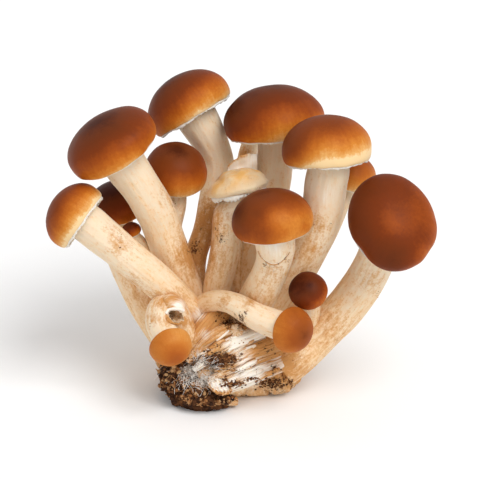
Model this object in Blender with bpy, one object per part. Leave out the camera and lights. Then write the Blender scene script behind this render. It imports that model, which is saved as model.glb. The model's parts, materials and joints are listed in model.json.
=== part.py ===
"""Pioppino mushroom cluster: sixteen mushrooms grown from one root clump, standing on it.

The flesh is one body: every stem, a broken stub, a pin that never grew and the root clump.
Each brown cap sits on its stem, and a clod of dark growing soil clings to the clump.

Places are given in millimetres as they are seen from the front, looking down VIEW_DROP:
across (to the right), up (along the picture) and depth (away from the viewer).
"""
import bpy
import bmesh
from math import cos, pi, radians, sin
from mathutils import Matrix, Vector, noise

MM = 0.001
NAME = "pioppino_mushroom_cluster"
VIEW_DROP = radians(25)
GAP = 0.35 * MM               # between two bodies that touch in nature
SOCKET_GAP = 0.7 * MM         # round the top of a stem, where the cap sits over it
TABLE_CUT = 40 * MM           # reach of the block that flattens what stands on the table
MERGE = 0.001 * MM            # points nearer than this are one

# shares of a cap's radius
MARGIN_RADIUS = 0.90          # at the curled edge
MARGIN_LIP = 0.06             # from the edge in to the first groove between the gills
SOCKET_DEPTH = 0.06           # from the widest ring down to the stem's top
INNER_GILLS = 0.09            # from the socket out to the inner ends of the gills
CAP_SWELL = 0.045             # how far a cap is pushed out of round
SWELL_SIZE = 0.9              # noise waves in a cap's radius
GILL_SIDES = {"large": 36, "medium": 24, "button": 18}

STEM_STEPS = 2                # rings between two points of a stem's route
STEM_CURVE_DETAIL = 3         # gives a stem 10 sides
STEM_EASING = 2               # rounds of smoothing of a route
STRAIGHT_STARTS = (0, 0.15, 0.4)  # shares of the cap's radius that a stem runs along its axis

# name: size class, seat (across, up, depth), radius, lean to the left and tilt to the viewer in
# degrees, height of the dome and drop of the margin as shares of the radius, ovalness
CAPS = {
    "tall_left": ("large", (-42.5, 86.5, 1), 17.1, 32, 24, 0.54, 0.28, 1.00),
    "back_left": ("large", (-15.3, 100.5, 37), 16.2, 31, 3, 0.73, 0.27, 1.00),
    "back_centre": ("large", (15.0, 95.0, 29), 18.3, 6, 14, 0.69, 0.25, 1.00),
    "right_centre": ("large", (33.5, 83.6, 0), 16.1, 4, 10, 0.79, 0.25, 1.00),
    "right_front": ("large", (56.3, 58.4, -14), 16.9, -30, 65, 0.62, 0.25, 1.07),
    "front_centre": ("large", (14.1, 58.9, -16), 14.5, 8, 22, 0.78, 0.25, 1.00),
    "far_left": ("large", (-54.8, 60.8, -10), 12.2, 55, 0, 0.80, 0.30, 1.00),
    "shaded_left": ("medium", (-20.1, 76.5, 18), 11.3, -8, 40, 0.93, 0.30, 1.00),
    "hidden_left": ("medium", (-40.7, 64.6, 17.5), 11.3, 15, 30, 0.75, 0.22, 1.00),
    "behind_right": ("medium", (41.8, 74.9, 18), 10.1, -15, 15, 0.85, 0.30, 1.00),
    "pale": ("medium", (2.2, 71.0, 7), 11.2, 11, 8, 0.58, 0.16, 1.00),
    "hidden_back": ("medium", (7.9, 95.4, 54), 7.5, 5, 0, 0.80, 0.22, 1.00),
    "drooping_left": ("button", (-21.6, 15.3, -27.5), 7.8, -150, 45, 0.90, 0.12, 1.00),
    "drooping_right": ("button", (20.8, 20.8, -25), 8.4, -112, 45, 0.90, 0.12, 1.00),
    "small_dark": ("button", (26.9, 34.3, -15), 7.0, -10, 72, 0.85, 0.15, 1.00),
    "tiny_left": ("button", (-35.6, 55.3, 3), 3.6, 20, 30, 0.90, 0.15, 1.00),
}

# name: radius at the cap, then the route from the cap down to the foot as
# (across, up, depth, radius)
STEMS = {
    "tall_left": (7.6, [(-31.1, 69.5, 1, 7.1), (-27.2, 63, 2, 7.0), (-23.5, 52.9, 2, 6.7),
                        (-19.4, 41.4, 2, 6.4), (-14.4, 28.8, 2, 6.4), (-9.7, 16.2, 2, 7.0)]),
    "back_left": (7.4, [(-6.5, 85.3, 33, 5.9), (-4.4, 77.4, 31, 5.6), (-7.2, 66.6, 26, 4.9),
                        (-9.1, 56.5, 20, 4.2), (-13.0, 47.9, 15, 4.0), (-13.7, 39.6, 12, 4.0),
                        (-12.2, 30.6, 9, 4.2), (-7.9, 18.0, 6, 5.0)]),
    "back_centre": (6.8, [(15.5, 81, 27, 6.5), (14.4, 70.2, 24, 6.4), (10.8, 58.7, 20, 6.2),
                          (6.1, 48.6, 16, 6.0), (2.2, 36, 12, 6.0), (0, 21.6, 8, 6.6)]),
    "right_centre": (7.6, [(33.2, 73.2, -2, 7.6), (32.4, 64.8, -2, 7.4), (30.2, 55.8, -2, 6.9),
                           (26.6, 47.9, -2, 6.6), (20.9, 38.5, -2, 6.6), (14.4, 29.5, -2, 6.8),
                           (8.3, 18.0, -2, 7.2)]),
    "right_front": (6.8, [(50.4, 44.3, -6, 7.0), (46.4, 36, -4, 7.1), (39.6, 27.2, -4, 7.2),
                          (31.2, 18.8, -6, 7.3), (23.3, 11.4, -8, 7.5), (17.8, 7.4, -9, 7.6)]),
    "front_centre": (7.0, [(15.5, 48.6, -14, 6.6), (13.7, 40.7, -12, 6.1), (9.4, 32.4, -9, 6.4),
                           (5.8, 25.2, -6, 6.8), (2.9, 16.2, -4, 7.2)]),
    "far_left": (6.9, [(-46.8, 54.7, -11, 6.8), (-39.6, 49.0, -12, 6.5), (-31.3, 42.1, -12, 6.2),
                       (-22.3, 34.2, -10, 6.0), (-14.4, 26.3, -7, 6.0), (-8.6, 18.0, -4, 6.4)]),
    "shaded_left": (3.8, [(-19.1, 64.6, 16, 3.3), (-22.0, 56.0, 13, 3.3), (-20.2, 44.3, 10, 3.5),
                          (-13.3, 27, 6, 4.2)]),
    "hidden_left": (4.6, [(-41.4, 55.4, 16, 4.7), (-40.8, 48.2, 11, 5.2), (-33.8, 33.5, 5, 5.4),
                          (-25.9, 19.4, 1, 5.4), (-18.0, 11.9, -1, 6.0)]),
    "behind_right": (3.3, [(38.2, 63.7, 14, 3.2), (34.9, 55.8, 11, 3.3), (31.0, 48.6, 9, 3.5),
                           (26.6, 41.4, 7, 3.8), (17.3, 27.0, 4, 4.4)]),
    "pale": (3.5, [(-2.4, 63.5, 6, 3.7), (-2.2, 57.6, 5, 4.8), (-1.8, 50, 3, 5.4),
                   (-4.3, 39.6, 1, 5.0), (-6.1, 30.6, -1, 4.8), (-6.1, 19.8, -1, 5.2)]),
    "hidden_back": (3.2, [(5.8, 84.6, 46, 3.4), (4.0, 72, 38, 3.6), (2.9, 55.8, 26, 3.9),
                          (2.2, 34.2, 13, 4.6)]),
    "drooping_left": (4.9, [(-25.6, 22.5, -22, 4.9), (-25.2, 27.4, -18, 4.9),
                            (-22.4, 29.6, -13, 4.9), (-17.8, 26.3, -7, 4.9), (-14.4, 18, -3, 5.2)]),
    "drooping_right": (5.2, [(9.0, 24.8, -21, 4.8), (4.0, 28.1, -18, 4.4), (-1.1, 30.6, -15, 3.9),
                             (-6.5, 30.9, -11, 3.6), (-11.5, 28.4, -7, 3.7), (-14, 23.1, -4, 4.0)]),
    "small_dark": (3.4, [(28.8, 26.3, -9, 3.3), (24.5, 17, -7, 3.6)]),
    "tiny_left": (1.9, [(-32.4, 52.2, 3, 1.9), (-28.8, 46.4, 2, 1.9), (-22.3, 36, 1, 2.2),
                        (-15.1, 25.2, 0, 2.6)]),
}

# tubes of the clump with no cap: the same points, from the free end to the buried one
STUBS = {
    "broken_stub": [(4.2, 80.6, 24, 4.2), (3.4, 70.2, 21, 4.4), (0, 52.2, 14, 4.4), (0, 32, 8, 4.6)],
    "pin": [(1.4, 20.4, -19, 2.1), (2.0, 19.4, -14, 2.5), (3.0, 17.5, -8, 2.8)],
    "arch_leg": [(-24.2, 28.2, -18.5, 3.6), (-20.8, 28.9, -17.4, 4.4), (-17.6, 22.5, -16.5, 4.3),
                 (-15.4, 15.5, -14.5, 4.7)],
    "rib_left": [(-15.2, 13.4, -18, 1.3), (-11.6, 19.8, -16, 2.6), (-5.4, 26.9, -10, 2.6)],
    "rib_second": [(-12.4, 13.8, -18.5, 1.8), (-6.0, 22.0, -13.5, 2.5), (-2.4, 27.2, -8, 2.5)],
    "rib_upper": [(-15.6, 8.8, -19.5, 1.0), (-8.6, 16.2, -18.5, 2.5), (-2.4, 19.6, -16.5, 2.6),
                  (5.0, 20.6, -12.5, 2.4)],
    "rib_white": [(-13.6, 6.0, -20.5, 0.9), (-6.6, 11.9, -20.5, 2.2), (2.0, 16.2, -18.5, 2.6),
                  (11.5, 19.9, -13, 2.6)],
    "rib_ochre": [(-6.2, 5.8, -22, 1.0), (0.6, 10.0, -21.5, 2.1), (8.4, 13.2, -18.5, 2.5),
                  (17.0, 16.4, -13, 2.5)],
    "rib_streaked": [(-8.0, 2.4, -22, 0.9), (-0.8, 6.6, -21.8, 1.9), (8.0, 10.2, -19, 2.2),
                     (17.5, 13.6, -12.5, 2.2)],
    "rib_low": [(-4.6, 0.2, -22, 2.9), (1.6, 3.0, -20.5, 3.7), (9.0, 6.2, -17, 4.1),
                (16.5, 9.0, -11.5, 4.4)],
    "rib_back_left": [(-10, 9.1, 15, 4.4), (-6, 17.8, 12, 4.2), (-3, 26.5, 7, 3.8)],
    "rib_back": [(2, 9.9, 17, 4.0), (2, 18.6, 14, 4.0), (3, 27.4, 9, 3.8)],
    "rib_back_right": [(14, 9.1, 15, 4.6), (11, 17.8, 12, 4.4), (8, 26.5, 7, 4.0)],
    "rib_right": [(23, 5.3, 5, 4.2), (18, 13.9, 5, 4.4), (12, 22.6, 2, 4.2)],
    "rib_far_left": [(-21, 5.3, 6, 4.2), (-17, 14.3, 6, 4.2), (-11, 23.4, 4, 4.0)],
}

# lumps of the clump: centre x, y, z above the table, and half sizes, in millimetres
CLUMP_LUMPS = [
    (0, 1, 11, 22, 16, 16),
    (-13, 4, 11, 13, 14, 13),
    (12, 6, 12, 14, 14, 13),
    (16.5, -7, 9, 8, 7, 8),
    (-2, -12, 12, 14, 9, 9),
    (-4, 14, 8, 12, 8, 9),
]
SOIL_LUMPS = [
    (-15, -12, 8, 9.5, 8.5, 9),
    (-17, -3, 6.5, 8, 9, 7),
    (-9, -17, 4.5, 9, 6, 5.5),
]
CLUMP_ROUGHNESS = 0.14        # of a lump's half sizes
SOIL_ROUGHNESS = 0.3
LUMP_WAVES = 2.6              # noise waves in a lump's half size
SOIL_CRUMBS = 26
CRUMB_RADIUS = 1.5
CRUMB_DEPTH = 0.95            # of a clod's half sizes, where a crumb's middle sits
CRUMB_TURN = 2.4              # radians round the clod from one crumb to the next
CRUMB_TOP = 0.85              # heights of the first crumb and of the last below it
CRUMB_FALL = 1.5


def seen(across, up, depth):
    """Return the place of a point that is given as it is seen from the front."""
    height = (up - depth * sin(VIEW_DROP)) / cos(VIEW_DROP)
    return Vector((across, depth, height)) * MM


def pointing(lean, tilt):
    """Return the direction of a cap that leans left in the picture and tilts to the viewer."""
    lean = radians(lean)
    tilt = radians(tilt)
    right = Vector((1, 0, 0))
    picture_up = Vector((0, sin(VIEW_DROP), cos(VIEW_DROP)))
    viewer = Vector((0, -cos(VIEW_DROP), sin(VIEW_DROP)))
    return cos(tilt) * (cos(lean) * picture_up - sin(lean) * right) + sin(tilt) * viewer


def clear_scene():
    for item in list(bpy.data.objects):
        bpy.data.objects.remove(item, do_unlink=True)


def add_collection(name, hidden=False):
    collection = bpy.data.collections.new(name)
    bpy.context.scene.collection.children.link(collection)
    collection.hide_render = hidden
    return collection


def add_material(name, colour, roughness):
    material = bpy.data.materials.new(name)
    material.use_nodes = True
    shader = material.node_tree.nodes["Principled BSDF"]
    shader.inputs["Base Color"].default_value = (*colour, 1)
    shader.inputs["Roughness"].default_value = roughness
    shader.inputs["Metallic"].default_value = 0
    return material


def add_object(name, mesh, collection, material=None):
    item = bpy.data.objects.new(name, mesh)
    collection.objects.link(item)
    if material:
        mesh.materials.append(material)
    return item


def mesh_from(shape, name):
    """Close the bmesh up, point its faces outwards and return it as a mesh."""
    bmesh.ops.remove_doubles(shape, verts=shape.verts, dist=MERGE)
    bmesh.ops.recalc_face_normals(shape, faces=shape.faces)
    mesh = bpy.data.meshes.new(name)
    shape.to_mesh(mesh)
    shape.free()
    return mesh


def cap_profile(size, radius, dome, drop, stem_radius):
    """Return the cap's outline from its top, round the curled margin, to the stem's socket.

    The last value of each point is how far a gill's edge hangs below the groove beside it.
    """
    points = [(radius * sin(a), radius * dome * cos(a), 0) for a in (0.0, 0.4, 0.8, 1.2)]
    points.append((radius, 0, 0))
    socket = stem_radius + SOCKET_GAP
    if size == "button":
        points.append((MARGIN_RADIUS * radius, -drop * radius, 0))
    else:
        points.append((0.98 * radius, -0.6 * drop * radius, 0))
        points.append((MARGIN_RADIUS * radius, -drop * radius, 0))
        points.append(((MARGIN_RADIUS - MARGIN_LIP) * radius, -0.75 * drop * radius, 0))
        groove = -0.25 * drop * radius
        points.append((0.45 * socket + 0.45 * radius, groove, 0.75 * drop * radius))
        points.append((socket + INNER_GILLS * radius, groove, 0.6 * drop * radius))
    points.append((socket, -SOCKET_DEPTH * radius, 0))
    points.append((0, -SOCKET_DEPTH * radius, 0))
    return points


def spin_profile(profile, sides):
    """Turn a profile about Z, and let every other radius hang lower where there are gills."""
    shape = bmesh.new()
    drops = {}
    verts = []
    for x, z, gill in profile:
        vert = shape.verts.new((x, 0, z))
        if gill:
            drops[(round(x, 6), round(z, 6))] = gill
        verts.append(vert)
    edges = [shape.edges.new(pair) for pair in zip(verts, verts[1:])]
    bmesh.ops.spin(shape, geom=verts + edges, axis=(0, 0, 1), cent=(0, 0, 0),
                   angle=2 * pi, steps=sides, use_merge=True)
    bmesh.ops.remove_doubles(shape, verts=shape.verts, dist=MERGE)
    for vert in shape.verts:
        distance = vert.co.to_2d().length
        side = round(vert.co.to_2d().angle_signed(Vector((1, 0)), 0) / (2 * pi / sides))
        gill = drops.get((round(distance, 6), round(vert.co.z, 6)), 0)
        if gill and side % 2 == 0:
            vert.co.z -= gill
    return shape


def uneven(vert, radius, seed):
    """Push a cap's outside about a little, as no cap grows quite round."""
    place = vert.co / radius
    swell = noise.noise(place * SWELL_SIZE + Vector((seed * 3.7, 0, 0)))
    share = min(1.0, place.to_2d().length * 1.4)
    vert.co.xy *= 1 + CAP_SWELL * swell * share


def add_cap(name, index, collection, material):
    size, seat, radius, lean, tilt, dome, drop, oval = CAPS[name]
    radius = radius * MM
    stem_radius = STEMS[name][0] * MM
    shape = spin_profile(cap_profile(size, radius, dome, drop, stem_radius), GILL_SIDES[size])
    for vert in shape.verts:
        if vert.co.to_2d().length > stem_radius + 2 * SOCKET_GAP:
            uneven(vert, radius, index)
    stretch = Matrix.Diagonal((1 / oval, oval, 1, 1))
    turn = pointing(lean, tilt).to_track_quat("Z", "Y").to_matrix().to_4x4()
    bmesh.ops.transform(shape, matrix=turn @ stretch, verts=shape.verts)
    item = add_object("cap_" + name, mesh_from(shape, name), collection, material)
    item.location = seen(*seat)
    item.data.shade_smooth()
    return item


def smooth_route(points):
    """Return a smooth row of (place, radius) through the points, with its sharp bends eased."""
    ends = [points[0]] + points + [points[-1]]
    route = []
    for before, start, stop, after in zip(ends, ends[1:], ends[2:], ends[3:]):
        for step in range(STEM_STEPS):
            t = step / STEM_STEPS
            route.append(tuple(0.5 * (2 * b + (c - a) * t + (2 * a - 5 * b + 4 * c - d) * t ** 2
                                      + (3 * b - a - 3 * c + d) * t ** 3)
                               for a, b, c, d in zip(before, start, stop, after)))
    route.append(points[-1])
    for _ in range(STEM_EASING):
        eased = [tuple((b + 2 * c + d) / 4 for b, c, d in zip(*rows))
                 for rows in zip(route[1:], route[2:], route[3:])]
        route = route[:2] + eased + route[-1:]
    return [(Vector(row[:3]), row[3]) for row in route]


def stem_points(name):
    """Return a stem's points, starting under its cap and leaving it along the cap's axis."""
    _, seat, radius, lean, tilt, *_ = CAPS[name]
    top_radius, route = STEMS[name]
    axis = pointing(lean, tilt)
    top = seen(*seat) - axis * (SOCKET_DEPTH * radius * MM + GAP)
    points = [(*(top - axis * share * radius * MM), top_radius * MM) for share in STRAIGHT_STARTS]
    points += [(*seen(*row[:3]), row[3] * MM) for row in route]
    return points


def add_tube(name, points, collection, grow=0.0):
    """Model a tapering tube along the points as a closed mesh, fatter and longer by grow."""
    curve = bpy.data.curves.new(name, "CURVE")
    curve.dimensions = "3D"
    curve.bevel_depth = MM
    curve.bevel_resolution = STEM_CURVE_DETAIL
    curve.use_fill_caps = True
    route = smooth_route(points)
    (first, radius), (second, _) = route[:2]
    route[0] = (first + (first - second).normalized() * grow, radius)
    spline = curve.splines.new("POLY")
    spline.points.add(len(route) - 1)
    for point, (place, radius) in zip(spline.points, route):
        point.co = (*place, 1)
        point.radius = (radius + grow) / MM
    guide = add_object(name + "_route", curve, collection)
    bpy.context.view_layer.update()
    solid = bpy.data.meshes.new_from_object(guide.evaluated_get(
        bpy.context.evaluated_depsgraph_get()))
    bpy.data.objects.remove(guide)
    shape = bmesh.new()
    shape.from_mesh(solid)
    return add_object(name, mesh_from(shape, name), collection)


def add_lump(name, numbers, detail, roughness, collection, grow=0.0):
    """Model one rounded lump of the clump or the soil, roughened by noise."""
    centre = Vector(numbers[:3]) * MM
    halves = Vector(numbers[3:]) * MM + Vector((grow, grow, grow))
    shape = bmesh.new()
    bmesh.ops.create_icosphere(shape, subdivisions=detail, radius=1)
    for vert in shape.verts:
        rough = noise.noise(vert.co * LUMP_WAVES + centre / MM)
        vert.co = vert.co * halves * (1 + roughness * rough) + centre
    return add_object(name, mesh_from(shape, name), collection)


def fuse(name, parts_collection, collection, material):
    """Join everything in a collection into one solid by one union, and empty the collection."""
    first, *rest = list(parts_collection.objects)
    parts_collection.objects.unlink(first)
    collection.objects.link(first)
    first.name = name
    union = first.modifiers.new("fused", "BOOLEAN")
    union.operation = "UNION"
    union.operand_type = "COLLECTION"
    union.solver = "MANIFOLD"
    union.collection = parts_collection
    bpy.context.view_layer.objects.active = first
    bpy.ops.object.modifier_apply(modifier=union.name)
    for item in rest:
        bpy.data.objects.remove(item)
    first.data.materials.clear()
    if material:
        first.data.materials.append(material)
    return first


def cut(item, cutter):
    """Take the cutter away from the item, and remove the cutter."""
    difference = item.modifiers.new("cut", "BOOLEAN")
    difference.operation = "DIFFERENCE"
    difference.object = cutter
    bpy.context.view_layer.objects.active = item
    bpy.ops.object.modifier_apply(modifier=difference.name)
    bpy.data.objects.remove(cutter)


def flatten_foot(item, cutters):
    """Cut the item off flat at the table, so that it rests on its own broad foot."""
    shape = bmesh.new()
    bmesh.ops.create_cube(shape, size=2 * TABLE_CUT)
    bmesh.ops.translate(shape, vec=(0, 0, -TABLE_CUT), verts=shape.verts)
    block = add_object("table_cut", mesh_from(shape, "table_cut"), cutters)
    block.hide_render = True
    block.display_type = "WIRE"
    cut(item, block)


def keep_largest(item):
    """Drop the loose scraps that a cut leaves, and keep the largest body."""
    shape = bmesh.new()
    shape.from_mesh(item.data)
    left = set(shape.verts)
    bodies = []
    while left:
        body = {left.pop()}
        edge_of_body = set(body)
        while edge_of_body:
            near = {edge.other_vert(vert) for vert in edge_of_body for edge in vert.link_edges}
            edge_of_body = near - body
            body |= near
        left -= body
        bodies.append(body)
    largest = max(bodies, key=len)
    scraps = [vert for vert in shape.verts if vert not in largest]
    bmesh.ops.delete(shape, geom=scraps, context="VERTS")
    shape.to_mesh(item.data)
    shape.free()


def add_flesh(name, collection, material, grow=0.0):
    """Grow the stems, the stub, the pin, the ribs and the lumps into one solid."""
    pieces = add_collection(name + "_pieces")
    for index, numbers in enumerate(CLUMP_LUMPS):
        add_lump(f"lump_{index}", numbers, 2, CLUMP_ROUGHNESS, pieces, grow)
    for stem in STEMS:
        add_tube("stem_" + stem, stem_points(stem), pieces, grow)
    for stub, route in STUBS.items():
        points = [(*seen(*row[:3]), row[3] * MM) for row in route]
        add_tube(stub, points, pieces, grow)
    flesh = fuse(name, pieces, collection, material)
    bpy.data.collections.remove(pieces)
    return flesh


def add_soil(name, collection, cutters, material):
    """Build the crumbly clod and cut it back so that it clears the flesh by the gap."""
    pieces = add_collection(name + "_pieces")
    for index, numbers in enumerate(SOIL_LUMPS):
        add_lump(f"clod_{index}", numbers, 2, SOIL_ROUGHNESS, pieces)
    for index in range(SOIL_CRUMBS):
        lump = SOIL_LUMPS[index % len(SOIL_LUMPS)]
        turn = CRUMB_TURN * index
        height = CRUMB_TOP - CRUMB_FALL * index / SOIL_CRUMBS
        ring = (1 - height ** 2) ** 0.5
        way = (ring * cos(turn), ring * sin(turn), height)
        place = [middle + CRUMB_DEPTH * half * share
                 for middle, half, share in zip(lump[:3], lump[3:], way)]
        size = CRUMB_RADIUS * (0.8 + 0.5 * (index * 0.37 % 1))
        add_lump(f"crumb_{index}", (*place, size, size, size), 1, SOIL_ROUGHNESS, pieces)
    soil = fuse(name, pieces, collection, material)
    bpy.data.collections.remove(pieces)
    grown = add_flesh("grown_flesh", cutters, None, grow=GAP)
    cut(soil, grown)
    flatten_foot(soil, cutters)
    keep_largest(soil)
    return soil


def main():
    clear_scene()
    parts = add_collection(NAME)
    cutters = add_collection("cutters", hidden=True)
    skin = add_material("cap_skin", (0.23, 0.065, 0.018), 0.42)
    pale_skin = add_material("pale_cap_skin", (0.72, 0.50, 0.27), 0.6)
    flesh = add_material("stem_flesh", (0.80, 0.66, 0.47), 0.65)
    earth = add_material("growing_soil", (0.055, 0.026, 0.012), 0.95)
    for index, name in enumerate(CAPS):
        add_cap(name, index, parts, pale_skin if name == "pale" else skin)
    body = add_flesh("stems_and_clump", parts, flesh)
    flatten_foot(body, cutters)
    keep_largest(body)
    body.data.shade_smooth()
    add_soil("soil_clod", parts, cutters, earth)


main()
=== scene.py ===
"""Pioppino mushroom cluster: fine caps, gills, veils, stems, root clump and soil."""
import json
from math import asin, atan2, cos, exp, pi, radians, sin, sqrt
from random import Random
from typing import NamedTuple

import bmesh
import bpy
from bpy.props import FloatProperty, FloatVectorProperty, IntProperty, PointerProperty
from mathutils import Matrix, Vector, noise

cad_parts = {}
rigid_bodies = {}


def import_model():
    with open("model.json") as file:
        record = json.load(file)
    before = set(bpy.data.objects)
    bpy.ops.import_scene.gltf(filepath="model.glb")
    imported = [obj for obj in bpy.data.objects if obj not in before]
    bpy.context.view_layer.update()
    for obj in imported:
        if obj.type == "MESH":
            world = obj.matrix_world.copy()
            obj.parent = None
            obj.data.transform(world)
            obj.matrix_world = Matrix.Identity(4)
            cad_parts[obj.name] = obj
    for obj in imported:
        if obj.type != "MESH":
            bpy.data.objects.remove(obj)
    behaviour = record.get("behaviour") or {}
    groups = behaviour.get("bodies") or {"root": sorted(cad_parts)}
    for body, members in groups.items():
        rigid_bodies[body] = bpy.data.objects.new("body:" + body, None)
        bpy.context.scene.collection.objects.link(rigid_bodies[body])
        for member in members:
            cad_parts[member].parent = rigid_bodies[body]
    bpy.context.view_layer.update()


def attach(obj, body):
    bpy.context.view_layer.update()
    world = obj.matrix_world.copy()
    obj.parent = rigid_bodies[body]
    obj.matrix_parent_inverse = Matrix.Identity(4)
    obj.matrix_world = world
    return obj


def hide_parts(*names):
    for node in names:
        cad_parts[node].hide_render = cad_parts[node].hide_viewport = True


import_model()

bl_info = {
    "name": "Pioppino mushroom cluster",
    "version": (1, 0, 0),
    "blender": (4, 5, 0),
    "location": "3D View > Sidebar > Pioppino",
    "description": "Grows the finished caps, stems, root clump and soil of a pioppino cluster",
    "category": "Add Mesh",
}

BODY = "root"
MM = 0.001

# The layout of the solids, in millimetres as seen from the front, looking down VIEW_DROP:
# across (to the right), up (along the picture) and depth (away from the viewer).
VIEW_DROP = radians(25)
RIGHT = Vector((1, 0, 0))
PICTURE_UP = Vector((0, sin(VIEW_DROP), cos(VIEW_DROP)))
VIEWER = Vector((0, -cos(VIEW_DROP), sin(VIEW_DROP)))
VIEW_DISTANCE = 1500.0
MIDDLE = 2.9 * RIGHT + 52.2 * PICTURE_UP      # what the camera looks at
EYE = MIDDLE + VIEWER * VIEW_DISTANCE
KEY_LIGHT = Vector((0.42, -0.50, 0.86))       # from the cluster to the light

LOWEST = 0.02             # nothing reaches nearer to the table, in millimetres

# The caps' form, as in the solids. Lengths are in radii, apart from those in millimetres.
MARGIN_RADIUS = 0.90      # of the margin's inner edge
SIDE_BULGE = 0.10         # how far the widest ring stands out beyond it
LIP = 0.028               # thickness of the curled margin
SOCKET_DEPTH = 0.06       # how deep the stem's socket lies
GAP = 0.35                # between a cap and its stem, in millimetres
WIDE_CAP = 17.0           # radius of a cap with the full number of gills, in millimetres
SHRINK = 0.014            # keeps the rippled skin inside the solid
DOME_RINGS = 26
SIDE_RINGS = 10
VEIL_SIDES = 180
HANG = {"fringe": 0.35, "torn": 0.8, "ragged": 2.0, "closed": 0.0}      # of a veil, in millimetres

# A cap's ripeness falls from its crown to its margin along its latitude, which is 0 at the
# crown and 1 at the margin. Painted light is added to the same tone: one side of each cap is
# painted paler, and the marks paint highlights and shade.
WIDEST = 0.72             # latitude of the widest ring
INSIDE = 1.2              # latitude given to what the margin hides
CROWN_RIPE = 0.16
BUTTON_RIPE = 0.40
LIT_SIDE = Vector((0.80, -0.42, -0.42)).normalized()      # the side painted paler: painted light

# Rays that look for the clump start this far out, in millimetres, round its middle
OUTSIDE = 60
CLUMP_MIDDLE = 2
# The clump's front in the picture: the ends of its upper right and of its lower left edge
FRONT_FIELD = (((3.0, 23.0), (19.0, 6.0)), ((-15.5, 10.5), (-2.0, -3.0)))
# Strands go round the clump's back over this arc, in degrees
WRAP_START = -20
WRAP_ARC = 230
STRAND_STEPS = 8

# Colours. A skin goes from the crown, 0, to the margin, 1; the others' places are noise.
# Below the crown's level, 0.16, the darkest stops serve dark crowns and painted shade alike.
OLD_SKIN = [(0.0, (0.050, 0.008, 0.002)), (0.16, (0.115, 0.024, 0.006)),
            (0.42, (0.165, 0.028, 0.005)), (0.58, (0.285, 0.053, 0.006)),
            (0.72, (0.440, 0.104, 0.008)), (0.84, (0.590, 0.200, 0.024)),
            (0.95, (0.720, 0.380, 0.120)), (1.0, (0.840, 0.600, 0.320))]
YOUNG_SKIN = [(0.0, (0.200, 0.045, 0.008)), (0.16, (0.360, 0.088, 0.014)),
              (0.45, (0.430, 0.110, 0.016)), (0.64, (0.500, 0.150, 0.022)),
              (0.76, (0.560, 0.200, 0.036)), (0.83, (0.620, 0.260, 0.060)),
              (0.90, (0.690, 0.350, 0.110)), (0.98, (0.830, 0.600, 0.320))]
WEATHERED_CREAM = (0.80, 0.62, 0.40)
WEATHERED_OCHRE = (0.78, 0.42, 0.11)
WEATHERED_CRACK = (0.48, 0.20, 0.06)
GILL_TONES = [(0.3, (0.62, 0.47, 0.31)), (0.7, (0.74, 0.61, 0.44))]
VEIL_TONES = [(0.3, (0.76, 0.66, 0.52)), (0.6, (0.88, 0.83, 0.74))]
SOIL_TONES = [(0.0, (0.034, 0.012, 0.005)), (0.35, (0.120, 0.044, 0.015)),
              (0.65, (0.30, 0.120, 0.038)), (1.0, (0.54, 0.32, 0.15))]
THREAD_TONES = [(0.3, (0.90, 0.84, 0.76)), (0.6, (0.97, 0.93, 0.87))]
FILM_WHITE = (0.93, 0.86, 0.77)
LIGHT_REACH = (0.0030, 0.0016, 0.0008)        # of red, green and blue in flesh, in metres


class Cap(NamedTuple):
    """A cap's form, as in the solids, and its looks."""
    seat: tuple           # across, up and depth
    radius: float
    lean: float           # to the left, in degrees
    tilt: float           # to the viewer, in degrees
    dome: float           # height of the dome, in radii
    drop: float           # of the margin below the widest ring, in radii
    oval: float
    age: float            # 0 is young and orange, 1 is dark
    dark: float           # how far down the dark reaches; partly the skin's own dark, partly painted shade
    veil: str             # what is left of the veil


class Growth(NamedTuple):
    """How a stem, a rib or a strand grows along its route."""
    sides: int
    steps: int            # rings from one point of its route to the next
    rough: float          # how uneven its flesh is
    ridges: float         # how deep its ridges are
    round_end: float      # length of its rounded ends, in radii
    easing: int           # how often its bends are evened out


STEM = Growth(96, 9, 1.0, 0.0, 0.0, 30)
BUTTON_STEM = STEM._replace(sides=72)
RIB = Growth(96, 12, 2.0, 0.6, 0.5, 20)
SMOOTHER_RIBS = {
    "broken_stub": RIB._replace(ridges=0.3),
    "arch_leg": RIB._replace(rough=1.0, ridges=0.05),
}
STRAND = Growth(22, 6, 3.0, 1.0, 0.9, 12)
RAGGED_EDGE = Growth(18, 8, 6.0, 1.6, 0.9, 4)

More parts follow.
